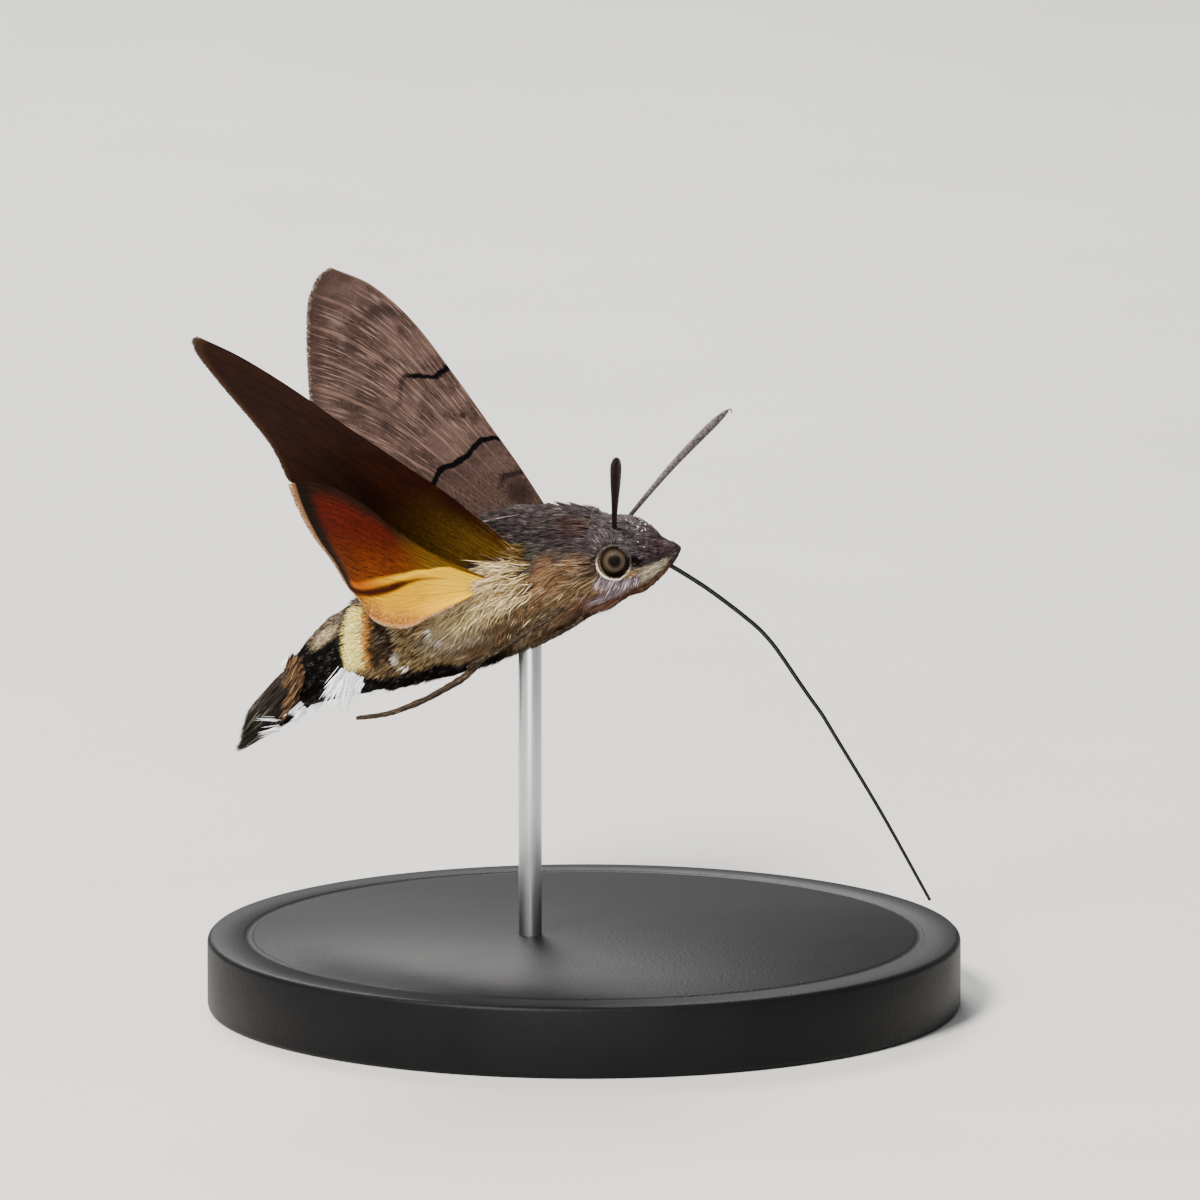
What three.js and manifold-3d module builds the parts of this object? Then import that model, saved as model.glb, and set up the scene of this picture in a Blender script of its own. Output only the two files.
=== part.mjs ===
// A hummingbird hawk moth, life size, hovering on a display stand.
// Millimetres, +Z up. The origin is the centre of the base's underside, +X is the
// way the moth looks as its right side is seen, and +Y is away from that side.
// The moth is built in its own frame: u forward, v to its left, w up from the floor.

import * as THREE from 'three';
import { mergeVertices } from 'three/addons/utils/BufferGeometryUtils.js';
import Module from 'manifold-3d';

const wasm = await Module();
wasm.setup();

// Stand
const BASE_RADIUS = 21;
const BASE_HEIGHT = 4;
const BASE_CHAMFER = 0.6;
const ROD_RADIUS = 0.65;
const ROD_TOP = 21.6;
const SOCKET_FLOOR = 1.6;
const ROD_X = -3;

// Pose
const YAW_DEG = 15.5;
const GAP = 0.3;

// Slivers shorter than this are closed up after a cut or a union
const WELD = 0.006;

// Body line from the tail to the beak: place (u, w), half height and half width
const STATIONS = [
  { u: -15.1, w: 15.9, tall: 0.6, wide: 1.2 },
  { u: -14.0, w: 16.9, tall: 1.1, wide: 2.0 },
  { u: -12.6, w: 17.95, tall: 1.7, wide: 2.6 },
  { u: -10.3, w: 19.4, tall: 2.6, wide: 3.15 },
  { u: -8.0, w: 20.45, tall: 3.1, wide: 3.45 },
  { u: -4.9, w: 22.0, tall: 3.7, wide: 3.5 },
  { u: -1.3, w: 23.95, tall: 4.05, wide: 3.75 },
  { u: 1.2, w: 24.85, tall: 3.75, wide: 3.8 },
  { u: 3.1, w: 25.3, tall: 3.2, wide: 3.2 },
  { u: 4.2, w: 25.4, tall: 2.8, wide: 2.55 },
  { u: 5.3, w: 25.65, tall: 2.38, wide: 2.25 },
  { u: 6.5, w: 25.75, tall: 2.05, wide: 1.75 },
  { u: 7.6, w: 25.9, tall: 1.1, wide: 1.1 },
  { u: 8.35, w: 26.15, tall: 0.5, wide: 0.55 },
  { u: 8.65, w: 26.25, tall: 0.18, wide: 0.2 },
];
const BODY_SIDES = 28;

// Where the body is parted, counted in stations
const BODY_CUTS = {
  tailEnd: 0,
  tailRoot: 1.7,
  abdomenRear: 3.1,
  abdomenMiddle: 4.5,
  waist: 5.6,
  neck: 9.0,
  face: 11.35,
};

const BEAK_MIDDLE = { u: 8, w: 26 };

// Eyes
const EYE = { u: 5.33, v: 1.62, w: 25.6, radius: 0.9, depth: 0.8 };

// Antennae
const ANTENNA_ROOT = [5.4, 1.1, 26.9];
const ANTENNA_TIP = { right: [7.5, -9.1, 32.6], left: [8.85, 8.8, 32.45] };
const ANTENNA_RISE = 0.25;
const ANTENNA_SHAFT = 0.25;
const ANTENNA_CLUB = 0.33;
const ANTENNA_HOOK = [0.3, 0.25, -0.05];

// Proboscis, in the moth's middle plane as (u, w)
const PROBOSCIS_PATH = [
  [6.6, 25.5], [7.4, 25.5], [8.15, 25.2], [10.0, 24.15], [12.4, 22.4],
  [14.2, 20.95], [15.8, 18.6], [17.65, 16.05], [20.2, 11.9], [23.0, 7.1],
];
const PROBOSCIS_SPLIT = 0.52;
const PROBOSCIS_RADIUS = 0.27;
const PROBOSCIS_TIP_RADIUS = 0.15;
const PROBOSCIS_START = 0.012;
const PROBOSCIS_HALF_GAP = 0.006;

// Wings: root on the thorax, and the plane each one lies in
const WINGS = {
  right: { side: -1, root: [0.1, 3.3, 26.0], riseDeg: 35.9, sweepDeg: 59.1, tipTurnDeg: 25 },
  left: { side: 1, root: [0.6, 3.3, 26.1], riseDeg: 36.2, sweepDeg: 60.0, tipTurnDeg: 12 },
};
const ROOT_TURN_DEG = -8;
const TURN_DONE_AT = 14;
const WING_THICK = 0.5;
const VEIN_RAISE = 0.14;

// Forewing edges as (distance along the span, distance back from the axis)
const FORE_COSTA = [
  [-1.2, -0.2], [4.3, -0.8], [8.0, -1.05], [12.2, -1.35], [16.4, -1.5], [19.8, -1.0], [21.9, 0.1],
];
const FORE_TERMEN = [[21.9, 0.1], [21.3, 1.7], [19.2, 3.5], [16.3, 5.3], [14.0, 6.7], [12.0, 7.6]];
const FORE_INNER = [[-1.2, 1.9], [3.0, 3.4], [8.0, 5.9], [12.0, 7.6]];

// Hindwing edges as (along the span, back from the axis, drop below the forewing's plane),
// then the lobe that lies folded along the body's left side as (u, v, w)
const HIND_FRONT = [[-0.8, 1.2, 1.2], [4.4, 2.95, 1.3], [9.1, 3.25, 1.0], [12.2, 4.65, 0.75]];
const HIND_OUTER = [[11.1, 5.3, 0.75], [9.0, 6.2, 0.85], [6.8, 7.1, 1.1], [5.6, 7.85, 1.6]];
const HIND_LOBE = [
  [-1.2, 3.0, 24.3], [-2.6, 4.3, 23.5], [-4.25, 4.6, 22.7],
  [-6.0, 4.6, 21.9], [-7.7, 4.5, 22.2], [-8.6, 4.15, 23.15],
];

// Vanes: share of the length, of the width and of the thickness
const VANE_TAPER = [[0, 0.6, 1], [0.4, 1, 1], [0.75, 0.85, 0.85], [1, 0.25, 0.4]];
const VANE_THICK = 0.5;
const VANE_SUNK = 0.5;

// Tail fan in tiers, from the upper one down, each from a root to its middle tip as (u, w)
const TAIL_TIERS = [
  { count: 6, from: [-13.9, 17.3], to: [-16.3, 15.5], spreadDeg: 30, width: 1.2 },
  { count: 7, from: [-14.0, 16.7], to: [-16.65, 14.65], spreadDeg: 34, width: 1.15 },
  { count: 6, from: [-14.0, 16.2], to: [-16.85, 13.75], spreadDeg: 26, width: 1.15 },
];
const TAIL_ROOT_SPREAD = 0.85;

// Locks on the left side of the tail as (u, v, w), from root to tip
const TAIL_SIDE_LOCKS = [
  { from: [-13.7, 1.2, 16.4], to: [-15.3, 2.2, 14.8] },
  { from: [-13.8, 1.4, 16.8], to: [-15.35, 2.7, 15.85] },
  { from: [-13.9, 1.3, 16.6], to: [-15.5, 2.55, 15.3] },
];
const SIDE_LOCK_WIDTH = 0.6;

// Rows of locks on the body: roots and tips as (station, degrees above the side), and the
// height of the tips over the body
const TUFTS = {
  abdomen_rear: [
    {
      count: 9, roots: [[2.9, -2], [2.9, -44]], tips: [[2.4, 2], [2.1, -22], [2.02, -48], [2.4, -76]],
      lift: 0.75, width: 0.6,
    },
  ],
  tail_fan: [
    {
      count: 8, roots: [[1.5, 82], [1.45, 10], [1.4, -30]], tips: [[0.9, 82], [0.6, 12], [0.25, -24]],
      lift: 0.3, width: 0.85,
    },
    { count: 6, roots: [[1.4, -34], [1.45, -70]], tips: [[0.55, -40], [0.6, -84]], lift: 0.6, width: 0.55 },
  ],
};

const MOTH_BROWN = 0x6b5f5c;

const SIDES = [['right', -1], ['left', 1]];

function lerp(a, b, f) {
  return a + (b - a) * f;
}

function mirrored(point, side) {
  return new THREE.Vector3(point[0], point[1] * side, point[2]);
}

// Solids: a closed mesh to a manifold and back
function toSolid(geometry) {
  const bare = new THREE.BufferGeometry();
  bare.setAttribute('position', geometry.getAttribute('position').clone());
  if (geometry.index) bare.setIndex(geometry.index.clone());
  const merged = mergeVertices(bare, 1e-4);
  return new wasm.Manifold(new wasm.Mesh({
    numProp: 3,
    vertProperties: new Float32Array(merged.getAttribute('position').array),
    triVerts: new Uint32Array(merged.index.array),
  }));
}

function largestBody(solid) {
  const bodies = solid.decompose();
  return bodies.reduce((best, body) => (body.volume() > best.volume() ? body : best));
}

function toGeometry(solid) {
  const mesh = largestBody(solid).simplify(WELD).getMesh();
  const geometry = new THREE.BufferGeometry();
  geometry.setAttribute('position', new THREE.BufferAttribute(new Float32Array(mesh.vertProperties), 3));
  geometry.setIndex(new THREE.BufferAttribute(new Uint32Array(mesh.triVerts), 1));
  return geometry;
}

function fuse(solids) {
  return solids.reduce((whole, solid) => whole.add(solid));
}

// A closed solid from rings of points, each ring with the same count
function loft(rings) {
  const sides = rings[0].length;
  const positions = [];
  for (const ring of rings) {
    for (const point of ring) positions.push(point.x, point.y, point.z);
  }
  const index = [];
  for (let i = 0; i + 1 < rings.length; i += 1) {
    for (let j = 0; j < sides; j += 1) {
      const a = i * sides + j;
      const b = i * sides + ((j + 1) % sides);
      index.push(a, b, b + sides, a, b + sides, a + sides);
    }
  }
  for (const [ring, start] of [[rings[0], 0], [rings.at(-1), (rings.length - 1) * sides]]) {
    const middle = ring.reduce((sum, point) => sum.add(point), new THREE.Vector3()).divideScalar(sides);
    const centre = positions.length / 3;
    positions.push(middle.x, middle.y, middle.z);
    for (let j = 0; j < sides; j += 1) {
      const next = (j + 1) % sides;
      if (start === 0) index.push(centre, next, j);
      else index.push(centre, start + j, start + next);
    }
  }
  return outwards(positions, index);
}

// Turns a closed mesh's faces outwards
function outwards(positions, index) {
  let volume = 0;
  const corner = (k) => new THREE.Vector3(...positions.slice(3 * k, 3 * k + 3));
  for (let k = 0; k < index.length; k += 3) {
    volume += corner(index[k]).dot(corner(index[k + 1]).cross(corner(index[k + 2])));
  }
  if (volume < 0) index.reverse();
  const geometry = new THREE.BufferGeometry();
  geometry.setAttribute('position', new THREE.Float32BufferAttribute(positions, 3));
  geometry.setIndex(index);
  return toSolid(geometry);
}

// A tapering round limb along a curve
function limb(points, radiusAt, steps, sides, flatten = 1) {
  const curve = new THREE.CatmullRomCurve3(points, false, 'centripetal');
  const frames = curve.computeFrenetFrames(steps, false);
  const rings = [];
  for (let i = 0; i <= steps; i += 1) {
    const f = i / steps;
    const centre = curve.getPointAt(f);
    const radius = radiusAt(f);
    const ring = [];
    for (let j = 0; j < sides; j += 1) {
      const angle = (2 * Math.PI * j) / sides;
      ring.push(centre.clone()
        .addScaledVector(frames.normals[i], Math.cos(angle) * radius)
        .addScaledVector(frames.binormals[i], Math.sin(angle) * radius * flatten));
    }
    rings.push(ring);
  }
  return loft(rings);
}

// Body
const stationCurve = new THREE.CatmullRomCurve3(STATIONS.map((s) => new THREE.Vector3(s.u, 0, s.w)));
const sizeCurve = new THREE.CatmullRomCurve3(STATIONS.map((s) => new THREE.Vector3(s.tall, s.wide, 0)));

// A point of the body's surface: station count, angle from its left side upwards, height over it
function bodyPoint(station, angle, lift = 0) {
  const f = station / (STATIONS.length - 1);
  const centre = stationCurve.getPoint(f);
  const tangent = stationCurve.getTangent(f);
  const dorsal = new THREE.Vector3(-tangent.z, 0, tangent.x);
  const size = sizeCurve.getPoint(f);
  return centre
    .addScaledVector(dorsal, Math.sin(angle) * (size.x + lift))
    .add(new THREE.Vector3(0, Math.cos(angle) * (size.y + lift), 0));
}

function bodyLength(from, to, rows, lift = 0) {
  const rings = [];
  for (let i = 0; i <= rows; i += 1) {
    const ring = [];
    for (let j = 0; j < BODY_SIDES; j += 1) {
      ring.push(bodyPoint(lerp(from, to, i / rows), (2 * Math.PI * j) / BODY_SIDES, lift));
    }
    rings.push(ring);
  }
  return loft(rings);
}

// The share of a station that leaves the gap between two lengths of the body
function gapInStations(station) {
  const step = 0.01;
  const last = STATIONS.length - 1;
  const a = stationCurve.getPoint((station - step) / last);
  const b = stationCurve.getPoint((station + step) / last);
  return (GAP / 2) * ((2 * step) / a.distanceTo(b));
}

function partedLength(from, to, rows) {
  return bodyLength(from + gapInStations(from), to - gapInStations(to), rows);
}

// Thin curved sheet between four edges, both faces split alike, with veins raised on both
function sheet(place, rows, columns, thicknessAt) {
  const positions = [];
  const index = [];
  const step = 1e-3;
  for (const face of [1, -1]) {
    for (let i = 0; i <= rows; i += 1) {
      for (let j = 0; j <= columns; j += 1) {
        const r = i / rows;
        const q = j / columns;
        const here = place(r, q);
        const along = place(r + step, q).sub(place(r - step, q));
        const across = place(r, q + step).sub(place(r, q - step));
        const normal = along.cross(across).normalize();
        here.addScaledVector(normal, (face * thicknessAt(r, q, i, j)) / 2);
        positions.push(here.x, here.y, here.z);
      }
    }
  }
  const width = columns + 1;
  const under = (rows + 1) * width;
  for (let i = 0; i < rows; i += 1) {
    for (let j = 0; j < columns; j += 1) {
      const a = i * width + j;
      const [b, c, d] = [a + 1, a + width, a + width + 1];
      index.push(a, c, b, b, c, d);
      index.push(under + a, under + b, under + c, under + b, under + d, under + c);
    }
  }
  const rim = [];
  for (let j = 0; j < columns; j += 1) rim.push([j, j + 1]);
  for (let i = 0; i < rows; i += 1) rim.push([i * width + columns, (i + 1) * width + columns]);
  for (let j = columns; j > 0; j -= 1) rim.push([rows * width + j, rows * width + j - 1]);
  for (let i = rows; i > 0; i -= 1) rim.push([i * width, (i - 1) * width]);
  for (const [a, b] of rim) index.push(a, b, under + a, b, under + b, under + a);
  return outwards(positions, index);
}

// A patch filled between four edges: root, outer, front and rear, that meet at its corners
function patch(edges) {
  return (r, q) => {
    const front = edges.front(r).multiplyScalar(1 - q);
    const rear = edges.rear(r).multiplyScalar(q);
    const root = edges.root(q).multiplyScalar(1 - r);
    const outer = edges.outer(q).multiplyScalar(r);
    const corners = edges.front(0).multiplyScalar((1 - r) * (1 - q))
      .addScaledVector(edges.rear(0), (1 - r) * q)
      .addScaledVector(edges.front(1), r * (1 - q))
      .addScaledVector(edges.rear(1), r * q);
    return front.add(rear).add(root).add(outer).sub(corners);
  };
}

function edgeThrough(points) {
  const curve = new THREE.CatmullRomCurve3(points, false, 'centripetal');
  const first = points[0];
  const last = points.at(-1);
  return (f) => {
    if (f < 0) return first.clone().addScaledVector(curve.getTangentAt(0), f * curve.getLength());
    if (f > 1) return last.clone().addScaledVector(curve.getTangentAt(1), (f - 1) * curve.getLength());
    return curve.getPointAt(f);
  };
}

// Wings
function smooth(f) {
  const g = Math.min(Math.max(f, 0), 1);
  return g * g * (3 - 2 * g);
}

// A wing's frame before mirroring: along the span, straight back from it, and the upper side
function wingFrame(wing) {
  const rise = THREE.MathUtils.degToRad(wing.riseDeg);
  const sweep = THREE.MathUtils.degToRad(wing.sweepDeg);
  const span = new THREE.Vector3(
    -Math.sin(sweep) * Math.cos(rise), Math.cos(sweep) * Math.cos(rise), Math.sin(rise));
  const back = new THREE.Vector3(-1, 0, 0).addScaledVector(span, span.x).normalize();
  return { span, back, upper: new THREE.Vector3().crossVectors(span, back) };
}

// A point of a wing: along its span, back from the axis, and up off its plane
function wingPoint(wing, s, t, lift) {
  const { span, back, upper } = wingFrame(wing);
  const point = new THREE.Vector3(...wing.root)
    .addScaledVector(span, s)
    .addScaledVector(back, t)
    .addScaledVector(upper, lift);
  point.y *= wing.side;
  return point;
}

// The forewing twists along its span
function forePoint(wing, s, t) {
  const turn = THREE.MathUtils.degToRad(lerp(ROOT_TURN_DEG, wing.tipTurnDeg, smooth(s / TURN_DONE_AT)));
  return wingPoint(wing, s, t * Math.cos(turn), t * Math.sin(turn));
}

const flat = (points) => edgeThrough(points.map(([s, t]) => new THREE.Vector3(s, t, 0)));

function forewing(wing) {
  const outline = patch({
    front: flat(FORE_COSTA),
    outer: flat(FORE_TERMEN),
    rear: flat(FORE_INNER),
    root: flat([FORE_COSTA[0], FORE_INNER[0]]),
  });
  const place = (r, q) => {
    const at = outline(r, q);
    return forePoint(wing, at.x, at.y);
  };
  const veins = (r, q, i, j) => WING_THICK + (j % 2 === 0 ? 2 * VEIN_RAISE : 0) * (1 - 0.5 * r);
  return sheet(place, 19, 14, veins);
}

function hindwing(wing) {
  const blade = (points) => points.map(([s, t, drop]) => wingPoint(wing, s, t, -drop));
  const lobe = (points) => points.map((point) => mirrored(point, wing.side));
  const front = blade(HIND_FRONT);
  const rear = lobe(HIND_LOBE);
  const place = patch({
    front: edgeThrough(front),
    outer: edgeThrough([front.at(-1), ...blade(HIND_OUTER), rear.at(-1)]),
    rear: edgeThrough(rear),
    root: edgeThrough([front[0], rear[0]]),
  });
  const veins = (r, q, i, j) => WING_THICK + (j % 2 === 0 ? 2 * VEIN_RAISE : 0) * (1 - 0.5 * r);
  return sheet(place, 14, 14, veins);
}

// Vanes and locks
function seeded(seed) {
  let state = seed;
  return () => {
    state = (state * 1103515245 + 12345) % 2147483648;
    return state / 2147483648;
  };
}
const draw = seeded(23);

// A flat tapering vane from its root along a way, its flat side facing a normal
function vane(root, way, normal, length, width) {
  const ahead = way.clone().normalize();
  const flat = normal.clone().addScaledVector(ahead, -normal.dot(ahead)).normalize();
  const across = new THREE.Vector3().crossVectors(ahead, flat);
  const corners = [[1, 0], [0, 1], [-1, 0], [0, -1]];
  return loft(VANE_TAPER.map(([f, wide, deep]) => corners.map(([a, b]) => root.clone()
    .addScaledVector(ahead, f * length)
    .addScaledVector(across, (a * wide * width) / 2)
    .addScaledVector(flat, (b * deep * VANE_THICK) / 2))));
}

// The value at a share of the way through a list of points
function along(points, f) {
  const place = Math.min(f * (points.length - 1), points.length - 1 - 1e-6);
  const k = Math.floor(place);
  return points[k].map((value, axis) => lerp(value, points[k + 1][axis], place - k));
}

function tuft(side, { count, roots, tips, lift, width }) {
  return Array.from({ length: count }, (_, k) => {
    const f = k / (count - 1);
    const [station, angle] = along(roots, f);
    const [tipStation, tipAngle] = along(tips, f);
    const root = bodyPoint(station, THREE.MathUtils.degToRad(angle), -VANE_SUNK);
    const surface = bodyPoint(station, THREE.MathUtils.degToRad(angle));
    const tip = bodyPoint(tipStation, THREE.MathUtils.degToRad(tipAngle), lift);
    const way = tip.sub(root).multiplyScalar(0.88 + 0.2 * draw());
    const outward = surface.sub(root);
    for (const vector of [root, way, outward]) vector.y *= side;
    return vane(root, way, outward, way.length(), width * (0.9 + 0.2 * draw()));
  });
}

function withTufts(name, core) {
  const locks = TUFTS[name].flatMap((row) => SIDES.flatMap(([, side]) => tuft(side, row)));
  return fuse([core, ...locks]);
}

function tailVanes() {
  const fan = TAIL_TIERS.flatMap(({ count, from, to, spreadDeg, width }) => {
    const ahead = new THREE.Vector3(to[0] - from[0], 0, to[1] - from[1]);
    const dorsal = new THREE.Vector3(ahead.z, 0, -ahead.x);
    return Array.from({ length: count }, (_, k) => {
      const f = (2 * k) / (count - 1) - 1;
      const yaw = THREE.MathUtils.degToRad(spreadDeg * f);
      const root = new THREE.Vector3(from[0], TAIL_ROOT_SPREAD * f, from[1]);
      const way = ahead.clone().normalize().multiplyScalar(Math.cos(yaw));
      way.y = Math.sin(yaw);
      const reach = ahead.length() * (1 - 0.14 * f * f) * (0.95 + 0.08 * draw());
      return vane(root, way, dorsal, reach, width);
    });
  });
  const locks = SIDES.flatMap(([, side]) => TAIL_SIDE_LOCKS.map(({ from, to }) => {
    const root = mirrored(from, side);
    const way = mirrored(to, side).sub(root);
    return vane(root, way, new THREE.Vector3(0, side, 0), way.length(), SIDE_LOCK_WIDTH);
  }));
  return [...fan, ...locks];
}

// Legs, as paths given over the body's surface: station, angle below the side, height
const FOLDED_LEGS = {
  leg_fore: [[8.15, -56, -0.6], [7.8, -60, 0.5], [7.3, -60, 0.58], [6.7, -62, 0.58], [6.1, -64, 0.58]],
  leg_mid: [[7.7, -40, -0.6], [7.2, -38, 0.55], [6.4, -42, 0.58], [5.7, -48, 0.58], [5.1, -54, 0.58]],
};
const LEG_RADIUS = 0.27;
const FOOT_RADIUS = 0.25;
const TOE_RADIUS = 0.16;

function foldedLeg(path, side) {
  const points = path.map(([station, angle, height]) => {
    const point = bodyPoint(station, THREE.MathUtils.degToRad(angle), height);
    point.y *= side;
    return point;
  });
  return limb(points, (f) => lerp(LEG_RADIUS, FOOT_RADIUS, f), 14, 6);
}

const HIND_LEG = {
  right: [
    [-1.8, 1.6, 20.6], [-3.0, 1.9, 18.95], [-4.9, 1.9, 17.7],
    [-6.05, 1.9, 17.1], [-7.65, 1.9, 16.45], [-9.5, 1.9, 16.1],
  ],
  left: [[-1.8, 1.6, 20.6], [-3.0, 1.9, 19.0], [-4.9, 1.9, 17.9], [-6.4, 1.9, 17.35], [-8.0, 1.8, 16.95]],
};

function hindLeg(path, side) {
  const points = path.map((point) => mirrored(point, side));
  const radiusAt = (f) => (f > 0.93 ? TOE_RADIUS : lerp(LEG_RADIUS, FOOT_RADIUS, f));
  return limb(points, radiusAt, 18, 6);
}

// Antenna: thin shaft, club near the end, then a fine hooked tip
function antenna(word, side) {
  const root = mirrored(ANTENNA_ROOT, side);
  const tip = new THREE.Vector3(...ANTENNA_TIP[word]);
  const middle = root.clone().lerp(tip, 0.5).add(new THREE.Vector3(0, 0, ANTENNA_RISE));
  const hook = tip.clone().add(mirrored(ANTENNA_HOOK, side));
  const radiusAt = (f) => {
    const club = lerp(ANTENNA_SHAFT, ANTENNA_CLUB, smooth((f - 0.2) / 0.6));
    const taper = 1 - 0.75 * smooth((f - 0.88) / 0.12);
    return club * taper;
  };
  return limb([root, middle, tip, hook], radiusAt, 16, 8);
}

function eyeball(side, grow = 0) {
  const ball = new THREE.SphereGeometry(1, 16, 11);
  ball.scale(EYE.radius + grow, EYE.depth + grow, EYE.radius + grow);
  ball.translate(EYE.u, EYE.v * side, EYE.w);
  return toSolid(ball);
}

function proboscisLength(from, to, grow = 0) {
  const whole = new THREE.CatmullRomCurve3(
    PROBOSCIS_PATH.map(([u, w]) => new THREE.Vector3(u, 0, w)), false, 'centripetal');
  const steps = 12;
  const points = Array.from({ length: steps + 1 }, (_, k) => whole.getPointAt(lerp(from, to, k / steps)));
  const radiusAt = (f) => {
    const atTip = lerp(from, to, f) > 0.995;
    return (atTip ? PROBOSCIS_TIP_RADIUS : PROBOSCIS_RADIUS) + grow;
  };
  return limb(points, radiusAt, 16, 8);
}

// Stand
function standBase() {
  const inner = BASE_RADIUS - BASE_CHAMFER;
  const profile = [
    [0, 0], [BASE_RADIUS, 0], [BASE_RADIUS, BASE_HEIGHT - BASE_CHAMFER],
    [inner, BASE_HEIGHT], [0, BASE_HEIGHT],
  ].map(([x, y]) => new THREE.Vector2(x, y));
  const disc = new THREE.LatheGeometry(profile, 64).rotateX(Math.PI / 2);
  const socket = uprightCylinder(ROD_RADIUS + GAP, SOCKET_FLOOR, BASE_HEIGHT + 1).translate([ROD_X, 0, 0]);
  return toSolid(disc).subtract(socket);
}

function uprightCylinder(radius, bottom, top) {
  const cylinder = new THREE.CylinderGeometry(radius, radius, top - bottom, 20).rotateX(Math.PI / 2);
  return toSolid(cylinder.translate(0, 0, (top + bottom) / 2));
}

// Assembly
const group = new THREE.Group();
const moth = new THREE.Group();
moth.position.x = ROD_X;
moth.rotation.z = -THREE.MathUtils.degToRad(YAW_DEG);
group.add(moth);

function add(parent, name, solid, color, roughness = 0.8, metalness = 0) {
  const material = new THREE.MeshStandardMaterial({ color, roughness, metalness });
  const mesh = new THREE.Mesh(toGeometry(solid), material);
  mesh.name = name;
  parent.add(mesh);
}

const cuts = BODY_CUTS;
const lastStation = STATIONS.length - 1;
const wholeBody = bodyLength(cuts.tailEnd, lastStation, 60, GAP);
const wideProboscis = proboscisLength(0, 0.3, GAP);
const rodHole = uprightCylinder(ROD_RADIUS + GAP, 10, ROD_TOP + GAP);

add(group, 'stand_base', standBase(), 0x26282b, 0.5);
add(group, 'stand_rod', uprightCylinder(ROD_RADIUS, SOCKET_FLOOR + GAP, ROD_TOP).translate([ROD_X, 0, 0]),
  0xb9bcc0, 0.3, 1);

add(moth, 'thorax', partedLength(cuts.waist, cuts.neck, 16).subtract(rodHole), MOTH_BROWN);
add(moth, 'abdomen_front', partedLength(cuts.abdomenMiddle, cuts.waist, 8), MOTH_BROWN);
add(moth, 'abdomen_middle', partedLength(cuts.abdomenRear, cuts.abdomenMiddle, 8), 0xc9b98a);

const rearCore = partedLength(cuts.tailRoot, cuts.abdomenRear, 8);
add(moth, 'abdomen_rear', withTufts('abdomen_rear', rearCore), 0x1b1613);

const tailCore = bodyLength(cuts.tailEnd, cuts.tailRoot - gapInStations(cuts.tailRoot), 4);
add(moth, 'tail_fan', withTufts('tail_fan', fuse([tailCore, ...tailVanes()])), 0x1b1613);

const sockets = fuse([eyeball(-1, GAP), eyeball(1, GAP), wideProboscis]);
add(moth, 'head', partedLength(cuts.neck, cuts.face, 10).subtract(sockets), MOTH_BROWN);

const beak = bodyLength(cuts.face + gapInStations(cuts.face), lastStation, 8).subtract(wideProboscis);
for (const [word, side] of SIDES) {
  const half = new THREE.BoxGeometry(6, 4, 6).translate(BEAK_MIDDLE.u, side * (2 + GAP / 2), BEAK_MIDDLE.w);
  add(moth, `palp_${word}`, beak.intersect(toSolid(half)), 0x4a3833);
  add(moth, `eye_${word}`, eyeball(side), 0x2a211c, 0.2);
  add(moth, `antenna_${word}`, antenna(word, side).subtract(wholeBody), 0x3a2a26);
  add(moth, `forewing_${word}`, forewing(WINGS[word]).subtract(wholeBody), 0x7a6a66);
  add(moth, `hindwing_${word}`, hindwing(WINGS[word]).subtract(wholeBody), 0xb8692a);
  for (const [name, path] of Object.entries(FOLDED_LEGS)) {
    add(moth, `${name}_${word}`, foldedLeg(path, side).subtract(wholeBody), 0x5a4a3a);
  }
  add(moth, `leg_hind_${word}`, hindLeg(HIND_LEG[word], side).subtract(wholeBody), 0x5a4a3a);
}

const baseEnd = PROBOSCIS_SPLIT - PROBOSCIS_HALF_GAP;
const endStart = PROBOSCIS_SPLIT + PROBOSCIS_HALF_GAP;
add(moth, 'proboscis_base', proboscisLength(PROBOSCIS_START, baseEnd), 0x171717, 0.4);
add(moth, 'proboscis_end', proboscisLength(endStart, 1), 0x171717, 0.4);

export default group;
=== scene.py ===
"""A hummingbird hawk moth, life size, hovering on a display stand.

The moth is made in its own frame in millimetres, u forward, v to its left and w up, and then
set on its stand: turned by the yaw and carried to the rod.
"""
import math
import bpy
import numpy as np
from mathutils import Matrix, Vector


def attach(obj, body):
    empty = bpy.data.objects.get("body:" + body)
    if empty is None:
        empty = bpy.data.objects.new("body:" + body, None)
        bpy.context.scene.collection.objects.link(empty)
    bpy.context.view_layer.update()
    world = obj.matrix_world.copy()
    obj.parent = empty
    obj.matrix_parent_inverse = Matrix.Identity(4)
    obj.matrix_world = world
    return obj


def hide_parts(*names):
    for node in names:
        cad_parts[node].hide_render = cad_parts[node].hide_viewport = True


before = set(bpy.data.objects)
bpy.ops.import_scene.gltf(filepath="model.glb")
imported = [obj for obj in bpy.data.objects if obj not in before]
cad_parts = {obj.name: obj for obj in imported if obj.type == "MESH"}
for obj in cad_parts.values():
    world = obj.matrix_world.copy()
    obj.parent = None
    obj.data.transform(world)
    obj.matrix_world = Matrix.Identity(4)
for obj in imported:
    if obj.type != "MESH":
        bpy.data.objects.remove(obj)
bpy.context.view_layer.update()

MM = 0.001

# Photograph: its size, its scale, the model's origin in it, and the camera
PIXELS = 1200
PIXELS_PER_MM = 18.0
ORIGIN_PIXEL = (584.0, 1006.0)
ELEVATION_DEG = 10.0
CAMERA_FAR = 1.0
SENSOR_MM = 36.0

# Pose and stand, as in the solids
YAW_DEG = 15.5
ROD_X = -3.0
ROD_RADIUS = 0.65
ROD_TOP = 21.6
SOCKET_FLOOR = 1.6
BASE_RADIUS = 21.0
BASE_HEIGHT = 4.0

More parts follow.
